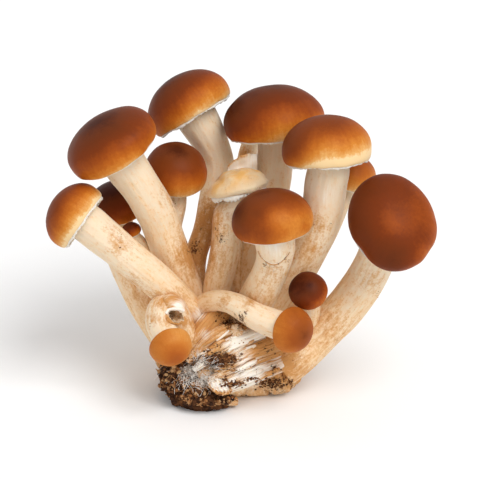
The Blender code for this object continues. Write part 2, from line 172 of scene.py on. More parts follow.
CAPS = {
    "tall_left": Cap((-42.5, 86.5, 1), 17.1, 32, 24, 0.54, 0.28, 1.00, 0.92, 0.17, "fringe"),
    "back_left": Cap((-15.3, 100.5, 37), 16.2, 31, 3, 0.73, 0.27, 1.00, 0.92, 0.14, "torn"),
    "back_centre": Cap((15.0, 95.0, 29), 18.3, 6, 14, 0.69, 0.25, 1.00, 0.95, 0.14, "torn"),
    "right_centre": Cap((33.5, 83.6, 0), 16.1, 4, 10, 0.79, 0.25, 1.00, 0.80, -0.05, "torn"),
    "right_front": Cap((56.3, 58.4, -14), 16.9, -30, 65, 0.62, 0.25, 1.07, 0.95, 0.16, "fringe"),
    "front_centre": Cap((14.1, 58.9, -16), 14.5, 8, 22, 0.78, 0.25, 1.00, 0.80, 0.14, "fringe"),
    "far_left": Cap((-54.8, 60.8, -10), 12.2, 55, 0, 0.80, 0.30, 1.00, 0.85, 0.00, "torn"),
    "shaded_left": Cap((-20.1, 76.5, 18), 11.3, -8, 40, 0.93, 0.30, 1.00, 0.80, 0.20, "fringe"),
    "hidden_left": Cap((-40.7, 64.6, 17.5), 11.3, 15, 30, 0.75, 0.22, 1.00, 0.98, 0.30, "fringe"),
    "behind_right": Cap((41.8, 74.9, 18), 10.1, -15, 15, 0.85, 0.30, 1.00, 0.45, 0.05, "fringe"),
    "pale": Cap((2.2, 71.0, 7), 11.2, 11, 8, 0.58, 0.16, 1.00, 0.0, 0.0, "ragged"),
    "hidden_back": Cap((7.9, 95.4, 54), 7.5, 5, 0, 0.80, 0.22, 1.00, 0.60, 0.05, "fringe"),
    "drooping_left": Cap((-21.6, 15.3, -27.5), 7.8, -150, 45, 0.90, 0.12, 1.00, 0.12, 0.10, "closed"),
    "drooping_right": Cap((20.8, 20.8, -25), 8.4, -112, 45, 0.90, 0.12, 1.00, 0.42, 0.10, "closed"),
    "small_dark": Cap((26.9, 34.3, -15), 7.0, -10, 72, 0.85, 0.15, 1.00, 1.00, 0.36, "closed"),
    "tiny_left": Cap((-35.6, 55.3, 3), 3.6, 20, 30, 0.90, 0.15, 1.00, 1.00, 0.25, "closed"),
}
BUTTONS = [name for name, cap in CAPS.items() if cap.veil == "closed"]

# Radius at the cap, then the route down to the foot as (across, up, depth, radius)
STEMS = {
    "tall_left": (7.6, [(-31.1, 69.5, 1, 7.1), (-27.2, 63, 2, 7.0), (-23.5, 52.9, 2, 6.7),
                        (-19.4, 41.4, 2, 6.4), (-14.4, 28.8, 2, 6.4), (-9.7, 16.2, 2, 7.0)]),
    "back_left": (7.4, [(-6.5, 85.3, 33, 5.9), (-4.4, 77.4, 31, 5.6), (-7.2, 66.6, 26, 4.9),
                        (-9.1, 56.5, 20, 4.2), (-13.0, 47.9, 15, 4.0), (-13.7, 39.6, 12, 4.0),
                        (-12.2, 30.6, 9, 4.2), (-7.9, 18.0, 6, 5.0)]),
    "back_centre": (6.8, [(15.5, 81, 27, 6.5), (14.4, 70.2, 24, 6.4), (10.8, 58.7, 20, 6.2),
                          (6.1, 48.6, 16, 6.0), (2.2, 36, 12, 6.0), (0, 21.6, 8, 6.6)]),
    "right_centre": (7.6, [(33.2, 73.2, -2, 7.6), (32.4, 64.8, -2, 7.4), (30.2, 55.8, -2, 6.9),
                           (26.6, 47.9, -2, 6.6), (20.9, 38.5, -2, 6.6), (14.4, 29.5, -2, 6.8),
                           (8.3, 18.0, -2, 7.2)]),
    "right_front": (6.8, [(50.4, 44.3, -6, 7.0), (46.4, 36, -4, 7.1), (39.6, 27.2, -4, 7.2),
                          (31.2, 18.8, -6, 7.3), (23.3, 11.4, -8, 7.5), (17.8, 7.4, -9, 7.6)]),
    "front_centre": (7.0, [(15.5, 48.6, -14, 6.6), (13.7, 40.7, -12, 6.1), (9.4, 32.4, -9, 6.4),
                           (5.8, 25.2, -6, 6.8), (2.9, 16.2, -4, 7.2)]),
    "far_left": (6.9, [(-46.8, 54.7, -11, 6.8), (-39.6, 49.0, -12, 6.5), (-31.3, 42.1, -12, 6.2),
                       (-22.3, 34.2, -10, 6.0), (-14.4, 26.3, -7, 6.0), (-8.6, 18.0, -4, 6.4)]),
    "shaded_left": (3.8, [(-19.1, 64.6, 16, 3.3), (-22.0, 56.0, 13, 3.3), (-20.2, 44.3, 10, 3.5),
                          (-13.3, 27, 6, 4.2)]),
    "hidden_left": (4.6, [(-41.4, 55.4, 16, 4.7), (-40.8, 48.2, 11, 5.2), (-33.8, 33.5, 5, 5.4),
                          (-25.9, 19.4, 1, 5.4), (-18.0, 11.9, -1, 6.0)]),
    "behind_right": (3.3, [(38.2, 63.7, 14, 3.2), (34.9, 55.8, 11, 3.3), (31.0, 48.6, 9, 3.5),
                           (26.6, 41.4, 7, 3.8), (17.3, 27.0, 4, 4.4)]),
    "pale": (3.5, [(-2.4, 63.5, 6, 3.7), (-2.2, 57.6, 5, 4.8), (-1.8, 50, 3, 5.4),
                   (-4.3, 39.6, 1, 5.0), (-6.1, 30.6, -1, 4.8), (-6.1, 19.8, -1, 5.2)]),
    "hidden_back": (3.2, [(5.8, 84.6, 46, 3.4), (4.0, 72, 38, 3.6), (2.9, 55.8, 26, 3.9),
                          (2.2, 34.2, 13, 4.6)]),
    "drooping_left": (4.9, [(-25.6, 22.5, -22, 4.9), (-25.2, 27.4, -18, 4.9),
                            (-22.4, 29.6, -13, 4.9), (-17.8, 26.3, -7, 4.9), (-14.4, 18, -3, 5.2)]),
    "drooping_right": (5.2, [(9.0, 24.8, -21, 4.8), (4.0, 28.1, -18, 4.4), (-1.1, 30.6, -15, 3.9),
                             (-6.5, 30.9, -11, 3.6), (-11.5, 28.4, -7, 3.7), (-14, 23.1, -4, 4.0)]),
    "small_dark": (3.4, [(28.8, 26.3, -9, 3.3), (24.5, 17, -7, 3.6)]),
    "tiny_left": (1.9, [(-32.4, 52.2, 3, 1.9), (-28.8, 46.4, 2, 1.9), (-22.3, 36, 1, 2.2),
                        (-15.1, 25.2, 0, 2.6)]),
}

# How white, ochre and dirty each rib is, then its route as the stems' routes
RIBS = {
    "broken_stub": (0.1, 0.1, 0.1, [(4.2, 80.6, 24, 4.2), (3.4, 70.2, 21, 4.4), (0, 52.2, 14, 4.4),
                                    (0, 32, 8, 4.6)]),
    "pin": (0.0, 0.5, 0.2, [(1.4, 20.4, -19, 2.1), (2.0, 19.4, -14, 2.5), (3.0, 17.5, -8, 2.8)]),
    "arch_leg": (0.1, 0.3, 0.1, [(-24.2, 28.2, -18.5, 3.6), (-20.8, 28.9, -17.4, 4.4),
                                 (-17.6, 22.5, -16.5, 4.3), (-15.4, 15.5, -14.5, 4.7)]),
    "rib_left": (0.1, 0.8, 0.2, [(-15.2, 13.4, -18, 1.3), (-11.6, 19.8, -16, 2.6),
                                 (-5.4, 26.9, -10, 2.6)]),
    "rib_second": (0.0, 0.9, 0.3, [(-12.4, 13.8, -18.5, 1.8), (-6.0, 22.0, -13.5, 2.5),
                                   (-2.4, 27.2, -8, 2.5)]),
    "rib_upper": (0.15, 0.7, 0.2, [(-15.6, 8.8, -19.5, 1.0), (-8.6, 16.2, -18.5, 2.5),
                                   (-2.4, 19.6, -16.5, 2.6), (5.0, 20.6, -12.5, 2.4)]),
    "rib_white": (0.9, 0.15, 0.05, [(-13.6, 6.0, -20.5, 0.9), (-6.6, 11.9, -20.5, 2.2),
                                  (2.0, 16.2, -18.5, 2.6), (11.5, 19.9, -13, 2.6)]),
    "rib_ochre": (0.0, 0.8, 0.35, [(-6.2, 5.8, -22, 1.0), (0.6, 10.0, -21.5, 2.1),
                                   (8.4, 13.2, -18.5, 2.5), (17.0, 16.4, -13, 2.5)]),
    "rib_streaked": (0.2, 0.6, 0.25, [(-8.0, 2.4, -22, 0.9), (-0.8, 6.6, -21.8, 1.9),
                                      (8.0, 10.2, -19, 2.2), (17.5, 13.6, -12.5, 2.2)]),
    "rib_low": (0.6, 0.3, 0.1, [(-4.6, 0.2, -22, 2.9), (1.6, 3.0, -20.5, 3.7), (9.0, 6.2, -17, 4.1),
                                (16.5, 9.0, -11.5, 4.4), (21.0, 11.5, -5, 3.5)]),
    "rib_flap": (0.3, 0.6, 0.5, [(-6.0, -4.0, -19, 1.1), (-2.0, -4.9, -18.5, 1.6),
                                 (2.2, -5.4, -17.5, 1.3)]),
    "rib_back_left": (0.3, 0.5, 0.4, [(-10, 9.1, 15, 4.4), (-6, 17.8, 12, 4.2), (-3, 26.5, 7, 3.8)]),
    "rib_back": (0.2, 0.5, 0.5, [(2, 9.9, 17, 4.0), (2, 18.6, 14, 4.0), (3, 27.4, 9, 3.8)]),
    "rib_back_right": (0.5, 0.3, 0.3, [(14, 9.1, 15, 4.6), (11, 17.8, 12, 4.4), (8, 26.5, 7, 4.0)]),
    "rib_right": (0.2, 0.6, 0.3, [(23, 5.3, 5, 4.2), (18, 13.9, 5, 4.4), (12, 22.6, 2, 4.2)]),
    "rib_far_left": (0.2, 0.6, 0.5, [(-21, 5.3, 6, 4.2), (-17, 14.3, 6, 4.2), (-11, 23.4, 4, 4.0)]),
}

# Lumps: centre x, y, z above the table, and half sizes, in millimetres
CLUMP_LUMPS = [
    (0, 1, 11, 22, 16, 16),
    (-13, 4, 11, 13, 14, 13),
    (12, 6, 12, 14, 14, 13),
    (16.5, -7, 9, 8, 7, 8),
    (-2, -12, 12, 14, 9, 9),
    (-4, 14, 8, 12, 8, 9),
    (17.5, -6.5, 9.5, 7.5, 7, 8),
]
SOIL_LUMPS = [
    (-15, -12, 8, 9.5, 8.5, 9),
    (-17, -3, 6.5, 8, 9, 7),
    (-9, -17, 4.5, 9, 6, 5.5),
]

# Stains on the flesh that faces the viewer, with one painted patch of light: across, up, reach and
# strength
STAINS = {
    "dirt": [(-24.8, 71.3, 2.2, 0.8), (-21.4, 64.8, 2.4, 0.9), (-40.8, 53.5, 2.6, 0.7),
             (-40.2, 48.5, 2.6, 0.9), (-8.5, 63.0, 4.0, 0.8), (-10.5, 56.0, 4.0, 0.7),
             (-13.5, 49.0, 4.5, 1.2), (-4.0, 55.0, 3.4, 0.9), (-3.0, 51.0, 2.6, 0.8),
             (30.0, 57.0, 3.4, 0.7), (11.6, 43.2, 1.2, 1.0), (20.0, 44.8, 1.6, 0.9),
             (16.0, 42.6, 1.8, 0.6), (14.5, 42.6, 2.6, 0.8), (-12.8, 7.0, 1.6, 1.0),
             (3.0, 82.0, 3.0, 0.8), (52.5, 32.5, 2.4, 0.8), (15.3, 6.7, 1.6, 1.2),
             (15.0, 1.0, 5.0, 1.0), (20.5, 0.5, 4.0, 0.9), (-4.6, 8.6, 4.2, 1.6),
             (13.0, 12.8, 3.5, 0.5), (2.0, 21.5, 3.0, 0.9), (3.0, 24.0, 5.0, 1.1),
             (-29.5, 21.2, 1.2, 1.0), (5.2, 26.5, 1.1, 0.9), (-5.0, 25.0, 1.6, 0.9),
             (38.0, 16.0, 1.6, 0.8)],
    "ochre": [(-23.0, 68.0, 4.0, 0.5), (-40.0, 50.5, 5.0, 0.6), (-44.0, 56.5, 3.0, 0.4),
              (-9.0, 60.0, 8.0, 1.0), (-14.0, 47.0, 7.0, 1.1), (-4.0, 45.0, 6.0, 0.3),
              (30.5, 58.0, 4.0, 0.7), (29.5, 50.0, 4.5, 0.5), (24.0, 45.0, 7.0, 0.35),
              (15.0, 40.5, 4.0, 0.5), (10.0, 33.0, 6.0, 0.35), (-12.0, 7.6, 2.4, 0.9),
              (-22.8, 23.5, 1.6, 0.8), (-17.0, 22.6, 1.6, 0.8), (-26.0, 30.0, 2.5, 0.5),
              (-20.0, 32.2, 3.0, 0.4), (4.0, 83.0, 4.0, 1.0), (49.0, 38.0, 6.0, 0.4),
              (36.0, 22.0, 8.0, 0.5), (20.0, 7.0, 8.0, 0.9), (10.0, 9.0, 5.0, 0.5),
              (-22.0, 28.0, 6.0, 0.5), (-28.5, 24.0, 2.5, 0.7), (-11.0, 24.0, 4.0, 0.8),
              (6.0, 29.5, 2.2, 0.7), (-3.0, 29.8, 2.2, 0.8), (-33.0, 33.0, 5.0, 0.4),
              (-36.0, 38.0, 3.0, 0.4)],
    # The second white entry is painted light: it lightens the top of a stem where its cap shades it.
    "white": [(15.2, 50.0, 5.0, 0.70), (33.5, 68.0, 6.5, 0.45), (-19.2, 28.2, 2.4, 0.95),
              (6.5, 4.6, 5.0, 0.4), (-12.0, 25.6, 2.8, 0.8), (-9.5, 18.0, 2.5, 0.5),
              (1.0, 14.6, 4.0, 0.7), (5.0, 5.5, 6.0, 0.7)],
}
# Paler or darker places on the caps, partly painted highlights and shade and partly the skin's
# own patches: across, up, reach and change of tone
MARKS = {
    "tall_left": [(-30.2, 92.5, 7.0, -0.14), (-30.0, 84.0, 6.0, -0.16), (-38.0, 90.0, 9.0, -0.04)],
    "back_left": [(-11.5, 104.4, 6.0, 0.02), (-14.0, 96.0, 8.0, 0.04), (-26.0, 107.0, 7.0, -0.10)],
    "back_centre": [(0.0, 97.0, 8.0, -0.22), (17.0, 97.0, 7.0, 0.10), (31.0, 100.0, 5.0, -0.14)],
    "right_centre": [(19.0, 86.0, 7.0, -0.34), (44.0, 84.0, 8.0, -0.08), (32.0, 79.5, 9.0, 0.07)],
    "right_front": [(60.0, 60.5, 10.0, 0.50), (74.0, 54.0, 7.0, -0.20), (57.0, 42.0, 10.0, -0.50),
                    (42.0, 56.0, 10.0, -0.18)],
    "front_centre": [(16.5, 61.6, 8.0, 0.26), (0.5, 60.0, 7.0, -0.22), (8.6, 61.6, 1.6, -0.12),
                     (12.0, 51.5, 7.0, -0.24), (27.5, 56.0, 3.0, -0.16), (22.5, 51.5, 6.0, -0.16)],
    "far_left": [(-56.5, 64.8, 6.0, 0.06), (-49.0, 61.0, 6.0, -0.12)],
    "drooping_right": [(17.4, 21.5, 5.0, 0.14), (26.0, 18.0, 7.0, -0.24), (24.0, 27.0, 5.0, -0.10)],
    "small_dark": [(22.0, 34.5, 5.0, -0.16), (29.5, 33.0, 5.0, 0.04)],
    "drooping_left": [(-19.5, 18.5, 5.0, 0.12), (-28.0, 10.0, 5.0, 0.10)],
    "behind_right": [(46.0, 76.0, 5.0, -0.10)],
    "shaded_left": [(-20.0, 72.0, 8.0, 0.10), (-12.0, 76.0, 5.0, -0.10)],
}
# Dents in the caps: across, up, reach and depth inwards, in millimetres
DENTS = {
    "right_front": [(45.6, 48.0, 4.2, 1.1), (53.6, 52.9, 0.8, -0.25), (70.5, 48.0, 3.0, 0.5)],
    "front_centre": [(26.8, 58.5, 1.6, 0.7), (8.2, 62.0, 1.8, 0.3)],
    "tall_left": [(-28.5, 86.0, 2.2, 0.5), (-30.5, 80.5, 1.6, -0.4)],
    "back_centre": [(31.0, 98.0, 3.0, 0.4)],
    "back_left": [(-15.0, 92.0, 3.0, 0.3)],
    "small_dark": [(28.0, 31.5, 1.0, 0.25)],
    "pale": [(1.0, 78.5, 2.2, 0.9), (8.0, 76.0, 2.2, 0.8), (-5.5, 73.5, 1.8, 0.7),
             (4.8, 73.5, 1.5, 0.6), (-0.5, 74.5, 1.8, -0.7), (11.0, 71.5, 1.6, 0.5)],
}

# The pieces that make the arch, then its hole and the broken end of the lowest rib: place in
# the picture, turn in degrees and half sizes
ARCH = ("stem_drooping_left", "arch_leg")
HOLE = ((-20.4, 24.9), -18, (3.1, 2.0, 3.6))
BROKEN_END = ((-4.3, 0.0), -28, (4.6, 3.2, 0.9))
# The torn skin behind the weathered cap
SHEET = {"left": -1.4, "width": 10.4, "foot": 74.5, "top": 78.8, "rise": 4.0, "depth": 16.5}

# Ragged edges: what they lie on, their size, their tone as (white, ochre, dirt) and their
# places in the picture
EDGES = [
    ("hole_rim_upper", ARCH, 0.42, (1.0, 0.0, 0.0),
     [(-23.8, 25.4), (-23.0, 26.9), (-21.6, 27.4), (-20.0, 27.5), (-18.4, 27.3), (-17.2, 26.6)]),
    ("hole_rim_lower", ARCH, 0.34, (0.0, 1.0, 0.6),
     [(-23.6, 24.4), (-22.6, 22.9), (-21.0, 22.1), (-19.4, 22.0), (-18.0, 22.6)]),
    ("sleeve_edge", ("stem_front_centre",), 0.30, (0.5, 0.3, 0.1),
     [(9.4, 48.4), (10.4, 46.4), (12.0, 44.6), (14.6, 43.4), (17.2, 44.0), (19.4, 46.0), (20.8, 48.0)]),
]
STRAND_TONES = ((0.6, 0.3, 0.0), (0.3, 0.6, 0.1), (0.0, 1.0, 0.3), (0.1, 0.7, 0.1),
                (0.0, 0.9, 0.6), (0.1, 0.8, 0.3), (0.2, 0.6, 0.1))

# Crumbs stuck on what the camera sees: across, up, width, height, number and size
POCKETS = [
    (-4.7, 8.6, 5.0, 2.0, 480, 0.60), (-1.2, 9.9, 3.6, 1.2, 160, 0.50),
    (-1.8, 22.2, 2.6, 1.6, 80, 0.45), (-18.4, 24.4, 1.0, 0.9, 26, 0.40),
    (-8.5, 12.2, 1.6, 0.9, 30, 0.42), (-5.0, 14.2, 1.6, 0.8, 18, 0.38), (2.5, 0.6, 3.0, 0.8, 50, 0.45),
    (7.0, 2.2, 3.0, 0.8, 50, 0.45), (11.5, 1.0, 3.0, 1.4, 60, 0.50), (1.0, 5.4, 2.4, 0.6, 24, 0.36),
    (0.4, 0.2, 3.6, 1.2, 80, 0.50), (-2.4, 1.6, 1.5, 1.4, 46, 0.45), (14.8, 0.6, 6.5, 2.0, 130, 0.55),
    (15.3, 6.7, 1.0, 0.4, 12, 0.45), (-13.7, 8.6, 2.2, 2.4, 40, 0.55),
    (-5.4, -4.6, 7.0, 1.6, 130, 0.60), (5.0, 10.0, 14.0, 10.0, 60, 0.28),
    (-24.8, 71.3, 1.3, 2.0, 9, 0.30), (-21.4, 64.8, 1.2, 3.0, 14, 0.32),
    (-40.8, 54.0, 2.0, 3.0, 12, 0.24), (-40.2, 49.4, 0.5, 0.5, 2, 0.50),
    (-13.6, 49.5, 2.0, 2.6, 16, 0.40), (-9.0, 63.0, 3.0, 5.0, 20, 0.24),
    (-4.0, 55.0, 3.2, 3.6, 46, 0.22), (30.5, 57.0, 2.6, 3.0, 12, 0.22), (35.5, 58.0, 0.2, 0.2, 2, 0.35),
    (11.6, 43.2, 0.4, 0.4, 3, 0.34), (20.0, 44.8, 1.0, 1.6, 8, 0.24), (52.5, 32.5, 2.0, 2.0, 14, 0.26),
    (-29.5, 21.2, 0.4, 1.2, 5, 0.30), (5.4, 26.4, 0.8, 0.3, 6, 0.26), (38.0, 16.2, 0.4, 1.0, 4, 0.28),
    (24.0, 8.0, 5.0, 4.0, 14, 0.26),
]
# White threads: across, up, width, height, number and the way they run in degrees
THREAD_PATCHES = [
    (-15.0, 5.8, 3.2, 2.6, 50, -60), (-10.0, 3.0, 2.8, 2.6, 80, -35), (-17.4, 2.6, 2.4, 2.0, 24, -70),
    (-12.4, 8.0, 1.6, 1.6, 30, 50), (-8.0, 6.4, 1.6, 1.2, 20, 20), (-13.5, 0.0, 3.0, 1.6, 14, 20),
]


def seen(across, up, depth):
    """Return the place, in millimetres, of a point given as it is seen from the front."""
    height = (up - depth * sin(VIEW_DROP)) / cos(VIEW_DROP)
    return Vector((across, depth, height))


def pointing(lean, tilt):
    """Return the direction of a cap that leans left in the picture and tilts to the viewer."""
    lean = radians(lean)
    tilt = radians(tilt)
    return cos(tilt) * (cos(lean) * PICTURE_UP - sin(lean) * RIGHT) + sin(tilt) * VIEWER


def cap_matrix(cap):
    """Return the matrix from a cap's own millimetres, standing on Z, to its seat."""
    turn = pointing(cap.lean, cap.tilt).to_track_quat("Z", "Y").to_matrix().to_4x4()
    oval = Matrix.Diagonal((1 / cap.oval, cap.oval, 1, 1))
    return Matrix.Translation(seen(*cap.seat)) @ turn @ oval


def facing_viewer(lean):
    """Return the turn that faces Z to the viewer and leans a shape in the picture."""
    return VIEWER.to_track_quat("Z", "Y").to_matrix() @ Matrix.Rotation(radians(lean), 3, "Z")


def picture(place):
    """Return where the camera sees a place: across and up, in the layout's millimetres."""
    ratio = VIEW_DISTANCE / (EYE - place).dot(VIEWER)
    shown = EYE + (place - EYE) * ratio
    return Vector((shown.x, shown.dot(PICTURE_UP)))


def soft(value, low, high):
    """Return 0 below low and 1 above high, with a smooth rise between them."""
    share = min(1.0, max(0.0, (value - low) / (high - low)))
    return share * share * (3 - 2 * share)


# Shader nodes

def add_node(tree, kind, inputs=None, **settings):
    """Add a node, set its options, and set or link its inputs by name or number."""
    node = tree.nodes.new(kind)
    for key, value in settings.items():
        setattr(node, key, value)
    for key, value in (inputs or {}).items():
        if isinstance(value, bpy.types.NodeSocket):
            tree.links.new(value, node.inputs[key])
        else:
            node.inputs[key].default_value = value
    return node


def painted(tree, name, output="Fac"):
    """Return an attribute that the mesh carries."""
    return add_node(tree, "ShaderNodeAttribute", attribute_name=name).outputs[output]


def cloud(tree, place, scale, detail, roughness=0.5, distortion=0.0):
    """Return soft noise from 0 to 1."""
    node = add_node(tree, "ShaderNodeTexNoise", {
        "Vector": place, "Scale": scale, "Detail": detail, "Roughness": roughness,
        "Distortion": distortion})
    return node.outputs["Fac"]


def calc(tree, operation, first, second, clamp=False):
    """Return one step of arithmetic on two values."""
    node = add_node(tree, "ShaderNodeMath", {0: first, 1: second}, operation=operation,
                    use_clamp=clamp)
    return node.outputs[0]


def scaled(tree, value, strength, clamp=False):
    """Return a value times another, kept between 0 and 1 if it is clamped."""
    return calc(tree, "MULTIPLY", value, strength, clamp)


def centred(tree, value, strength):
    """Return noise moved about zero and scaled."""
    return scaled(tree, calc(tree, "SUBTRACT", value, 0.5), strength)


def total(tree, first, *others):
    """Add values up in their order."""
    for value in others:
        first = calc(tree, "ADD", first, value)
    return first


def blend(tree, factor, first, second):
    """Mix two colours by a factor."""
    colours = [(*value, 1) if isinstance(value, tuple) else value for value in (first, second)]
    node = add_node(tree, "ShaderNodeMix", {0: factor, 6: colours[0], 7: colours[1]},
                    data_type="RGBA")
    return node.outputs[2]


def ramp(tree, factor, stops):
    """Return the colour or value between stops of (factor, colour or value)."""
    node = add_node(tree, "ShaderNodeValToRGB", {"Fac": factor})
    band = node.color_ramp
    band.elements[0].position = stops[0][0]
    band.elements[1].position = stops[-1][0]
    for place, _ in stops[1:-1]:
        band.elements.new(place)
    for element, (_, value) in zip(band.elements, stops):
        element.color = (*value, 1) if isinstance(value, tuple) else (value, value, value, 1)
    return node.outputs["Color"]


def new_group(name, inputs, output):
    """Start a node group with a Vector input, float inputs and one float output."""
    group = bpy.data.node_groups.new(name, "ShaderNodeTree")
    sockets = group.interface
    sockets.new_socket(name="Vector", in_out="INPUT", socket_type="NodeSocketVector")
    for label, default in inputs.items():
        socket = sockets.new_socket(name=label, in_out="INPUT", socket_type="NodeSocketFloat")
        socket.default_value = default
    sockets.new_socket(name=output, in_out="OUTPUT", socket_type="NodeSocketFloat")
    given = group.nodes.new("NodeGroupInput").outputs
    return group, given, group.nodes.new("NodeGroupOutput").inputs[output]


def group_node(tree, name, inputs):
    """Place a shared effect, and return what it puts out."""
    node = add_node(tree, "ShaderNodeGroup", inputs, node_tree=bpy.data.node_groups[name])
    return node.outputs[0]


def build_streaks_group():
    """Fibres that run along a stem: noise stretched along the third coordinate."""
    group, given, result = new_group(
        "growth_streaks", {"Across": 1.0, "Along": 0.1, "Detail": 4.0}, "Streak")
    scale = add_node(group, "ShaderNodeCombineXYZ",
                     {0: given["Across"], 1: given["Across"], 2: given["Along"]})
    place = add_node(group, "ShaderNodeVectorMath", {0: given["Vector"], 1: scale.outputs[0]},
                     operation="MULTIPLY")
    group.links.new(cloud(group, place.outputs[0], 1.0, given["Detail"], 0.6), result)


def build_specks_group():
    """Small dark specks, more of them where the coverage is high."""
    group, given, result = new_group("soil_specks", {"Size": 1.0, "Coverage": 0.5}, "Speck")
    grain = cloud(group, given["Vector"], given["Size"], 5.0, 0.75)
    patch = cloud(group, given["Vector"], 0.35, 2.0)
    lift = scaled(group, calc(group, "MINIMUM", given["Coverage"], 1.3), 0.22)
    level = total(group, scaled(group, patch, 0.30), lift)
    excess = calc(group, "SUBTRACT", total(group, grain, level), 0.93)
    group.links.new(scaled(group, excess, 12.0, True), result)


def streak(tree, place, across, along, detail):
    """Return fibres, given how fine they are across and along."""
    return group_node(tree, "growth_streaks", {"Vector": place, "Across": across, "Along": along,
                                               "Detail": detail})


# Finishes

def new_material(name, roughness, sheen=0.0, subsurface=0.0, gloss=0.5):
    """Start a finish, and return its node tree and its shader."""
    material = bpy.data.materials.new(name)
    material.use_nodes = True
    shader = material.node_tree.nodes["Principled BSDF"]
    for key, value in (("Roughness", roughness), ("Sheen Weight", sheen), ("Sheen Roughness", 0.45),
                       ("Subsurface Weight", subsurface), ("Subsurface Radius", LIGHT_REACH),
                       ("Subsurface Scale", 1.0), ("Specular IOR Level", gloss)):
        shader.inputs[key].default_value = value
    return material.node_tree, shader


def coat(tree, shader, colour, height, strength, distance):
    """Give a shader its colour and its relief, whose distance is in millimetres."""
    relief = add_node(tree, "ShaderNodeBump", {"Height": height, "Strength": strength,
                                               "Distance": distance * MM})
    tree.links.new(relief.outputs["Normal"], shader.inputs["Normal"])
    tree.links.new(colour, shader.inputs["Base Color"])


def skin_material(name, age):
    """The cap's skin: dark at the crown, orange down the sides and tan at the margin."""
    look = bpy.context.scene.pioppino_caps
    tree, shader = new_material("skin_" + name, look.roughness, look.sheen, 0.04, look.gloss)
    grown = painted(tree, "grown", "Vector")
    radial = painted(tree, "radial", "Vector")
    rays = streak(tree, radial, 9.0, 1.3, 3.0)
    fine = cloud(tree, grown, 17.0, 5.0, 0.65)
    reach = add_node(tree, "ShaderNodeSeparateXYZ", {0: radial}).outputs[2]
    away = scaled(tree, reach, 2.5, True)
    # The ripeness read here also carries painted light: a paler lit side, painted highlights and shade.
    level = total(tree, painted(tree, "ripe"), centred(tree, cloud(tree, grown, 2.2, 3.0), 0.22),
                  scaled(tree, away, centred(tree, rays, 0.13)), centred(tree, fine, 0.17))
    stops = [(place, tuple(age * dark + (1 - age) * light for dark, light in zip(old, young)))
             for (place, old), (_, young) in zip(OLD_SKIN, YOUNG_SKIN)]
    rough = total(tree, scaled(tree, fine, 0.16), look.roughness - 0.08)
    tree.links.new(rough, shader.inputs["Roughness"])
    height = total(tree, scaled(tree, rays, 0.6), fine)
    coat(tree, shader, ramp(tree, level, stops), height, 0.22, 0.10)
    return bpy.data.materials["skin_" + name]


def pale_skin_material():
    """The weathered cap: cream flesh with yellow ochre patches and brown cracks."""
    tree, shader = new_material("pale_skin", 0.6, 0.15, 0.15)
    grown = painted(tree, "grown", "Vector")
    fine = cloud(tree, grown, 9.0, 5.0, 0.7)
    patch = ramp(tree, cloud(tree, grown, 2.4, 4.0), [(0.38, 0.0), (0.60, 1.0)])
    crown = ramp(tree, painted(tree, "ripe"), [(0.55, 1.0), (0.92, 0.0)])
    mask = scaled(tree, total(tree, scaled(tree, patch, 0.7), 0.3), crown)
    colour = blend(tree, mask, WEATHERED_CREAM, WEATHERED_OCHRE)
    crack = ramp(tree, fine, [(0.60, 0.0), (0.70, 1.0)])
    colour = blend(tree, scaled(tree, crack, 0.7), colour, WEATHERED_CRACK)
    coat(tree, shader, colour, fine, 0.8, 0.6)


def flesh_material():
    """Stem and root flesh: cream with tan fibres, ochre stains, specks of soil and white bruises; a
    white patch under one cap is painted light, and the warmer tan towards the foot is partly painted
    bounce light.
    """
    look = bpy.context.scene.pioppino_stems
    tree, shader = new_material("fibrous_flesh", look.roughness, 0.0, 0.10, 0.25)
    grown = painted(tree, "grown", "Vector")
    fine = streak(tree, grown, 1.7, 0.14, 5.0)
    mottle = streak(tree, grown, 0.60, 0.34, 6.0)
    broad = streak(tree, grown, 0.24, 0.06, 3.0)
    felt = cloud(tree, grown, 1.5, 4.0, 0.65)
    # The warm tone, which grows towards the foot, is partly the flesh's own and partly painted warm
    # bounce light in the shaded lower parts.
    level = total(tree, scaled(tree, painted(tree, "warm"), 0.60), centred(tree, mottle, 1.4),
                  centred(tree, fine, 0.9), centred(tree, broad, 0.9), centred(tree, felt, 0.8))
    colour = ramp(tree, level, [(0.0, tuple(look.cream)), (0.40, tuple(look.straw)),
                                (0.95, tuple(look.tan))])
    spread = total(tree, painted(tree, "ochre"), centred(tree, mottle, 1.6),
                   centred(tree, fine, 0.6), centred(tree, felt, 1.3))
    stain = ramp(tree, spread, [(0.24, 0.0), (1.0, 1.0)])
    colour = blend(tree, stain, colour, tuple(look.ochre))
    # The white tone covers torn flesh and bruises and also one painted patch of light.
    torn = total(tree, painted(tree, "white"), centred(tree, fine, 1.2))
    bruise_and_painted_light = ramp(tree, torn, [(0.30, 0.0), (0.85, 1.0)])
    colour = blend(tree, bruise_and_painted_light, colour, tuple(look.white))
    speck = group_node(tree, "soil_specks", {"Vector": grown, "Size": 1.1,
                                             "Coverage": painted(tree, "dirt")})
    colour = blend(tree, speck, colour, tuple(look.soil))
    height = total(tree, scaled(tree, fine, 0.6), scaled(tree, mottle, 0.7),
                   scaled(tree, felt, 0.5), scaled(tree, speck, 0.8))
    coat(tree, shader, colour, height, 0.6, 0.32)


def gill_material():
    """Pale brown gills."""
    tree, shader = new_material("gill_flesh", 0.75, 0.1, 0.1)
    patch = cloud(tree, painted(tree, "grown", "Vector"), 3.0, 3.0)
    coat(tree, shader, ramp(tree, patch, GILL_TONES), patch, 0.2, 0.1)


def veil_material():
    """The veil's white felt."""
    tree, shader = new_material("veil", 0.85, 0.3, 0.15)
    fluff = cloud(tree, painted(tree, "grown", "Vector"), 18.0, 5.0, 0.7)
    coat(tree, shader, ramp(tree, fluff, VEIL_TONES), fluff, 0.6, 0.25)


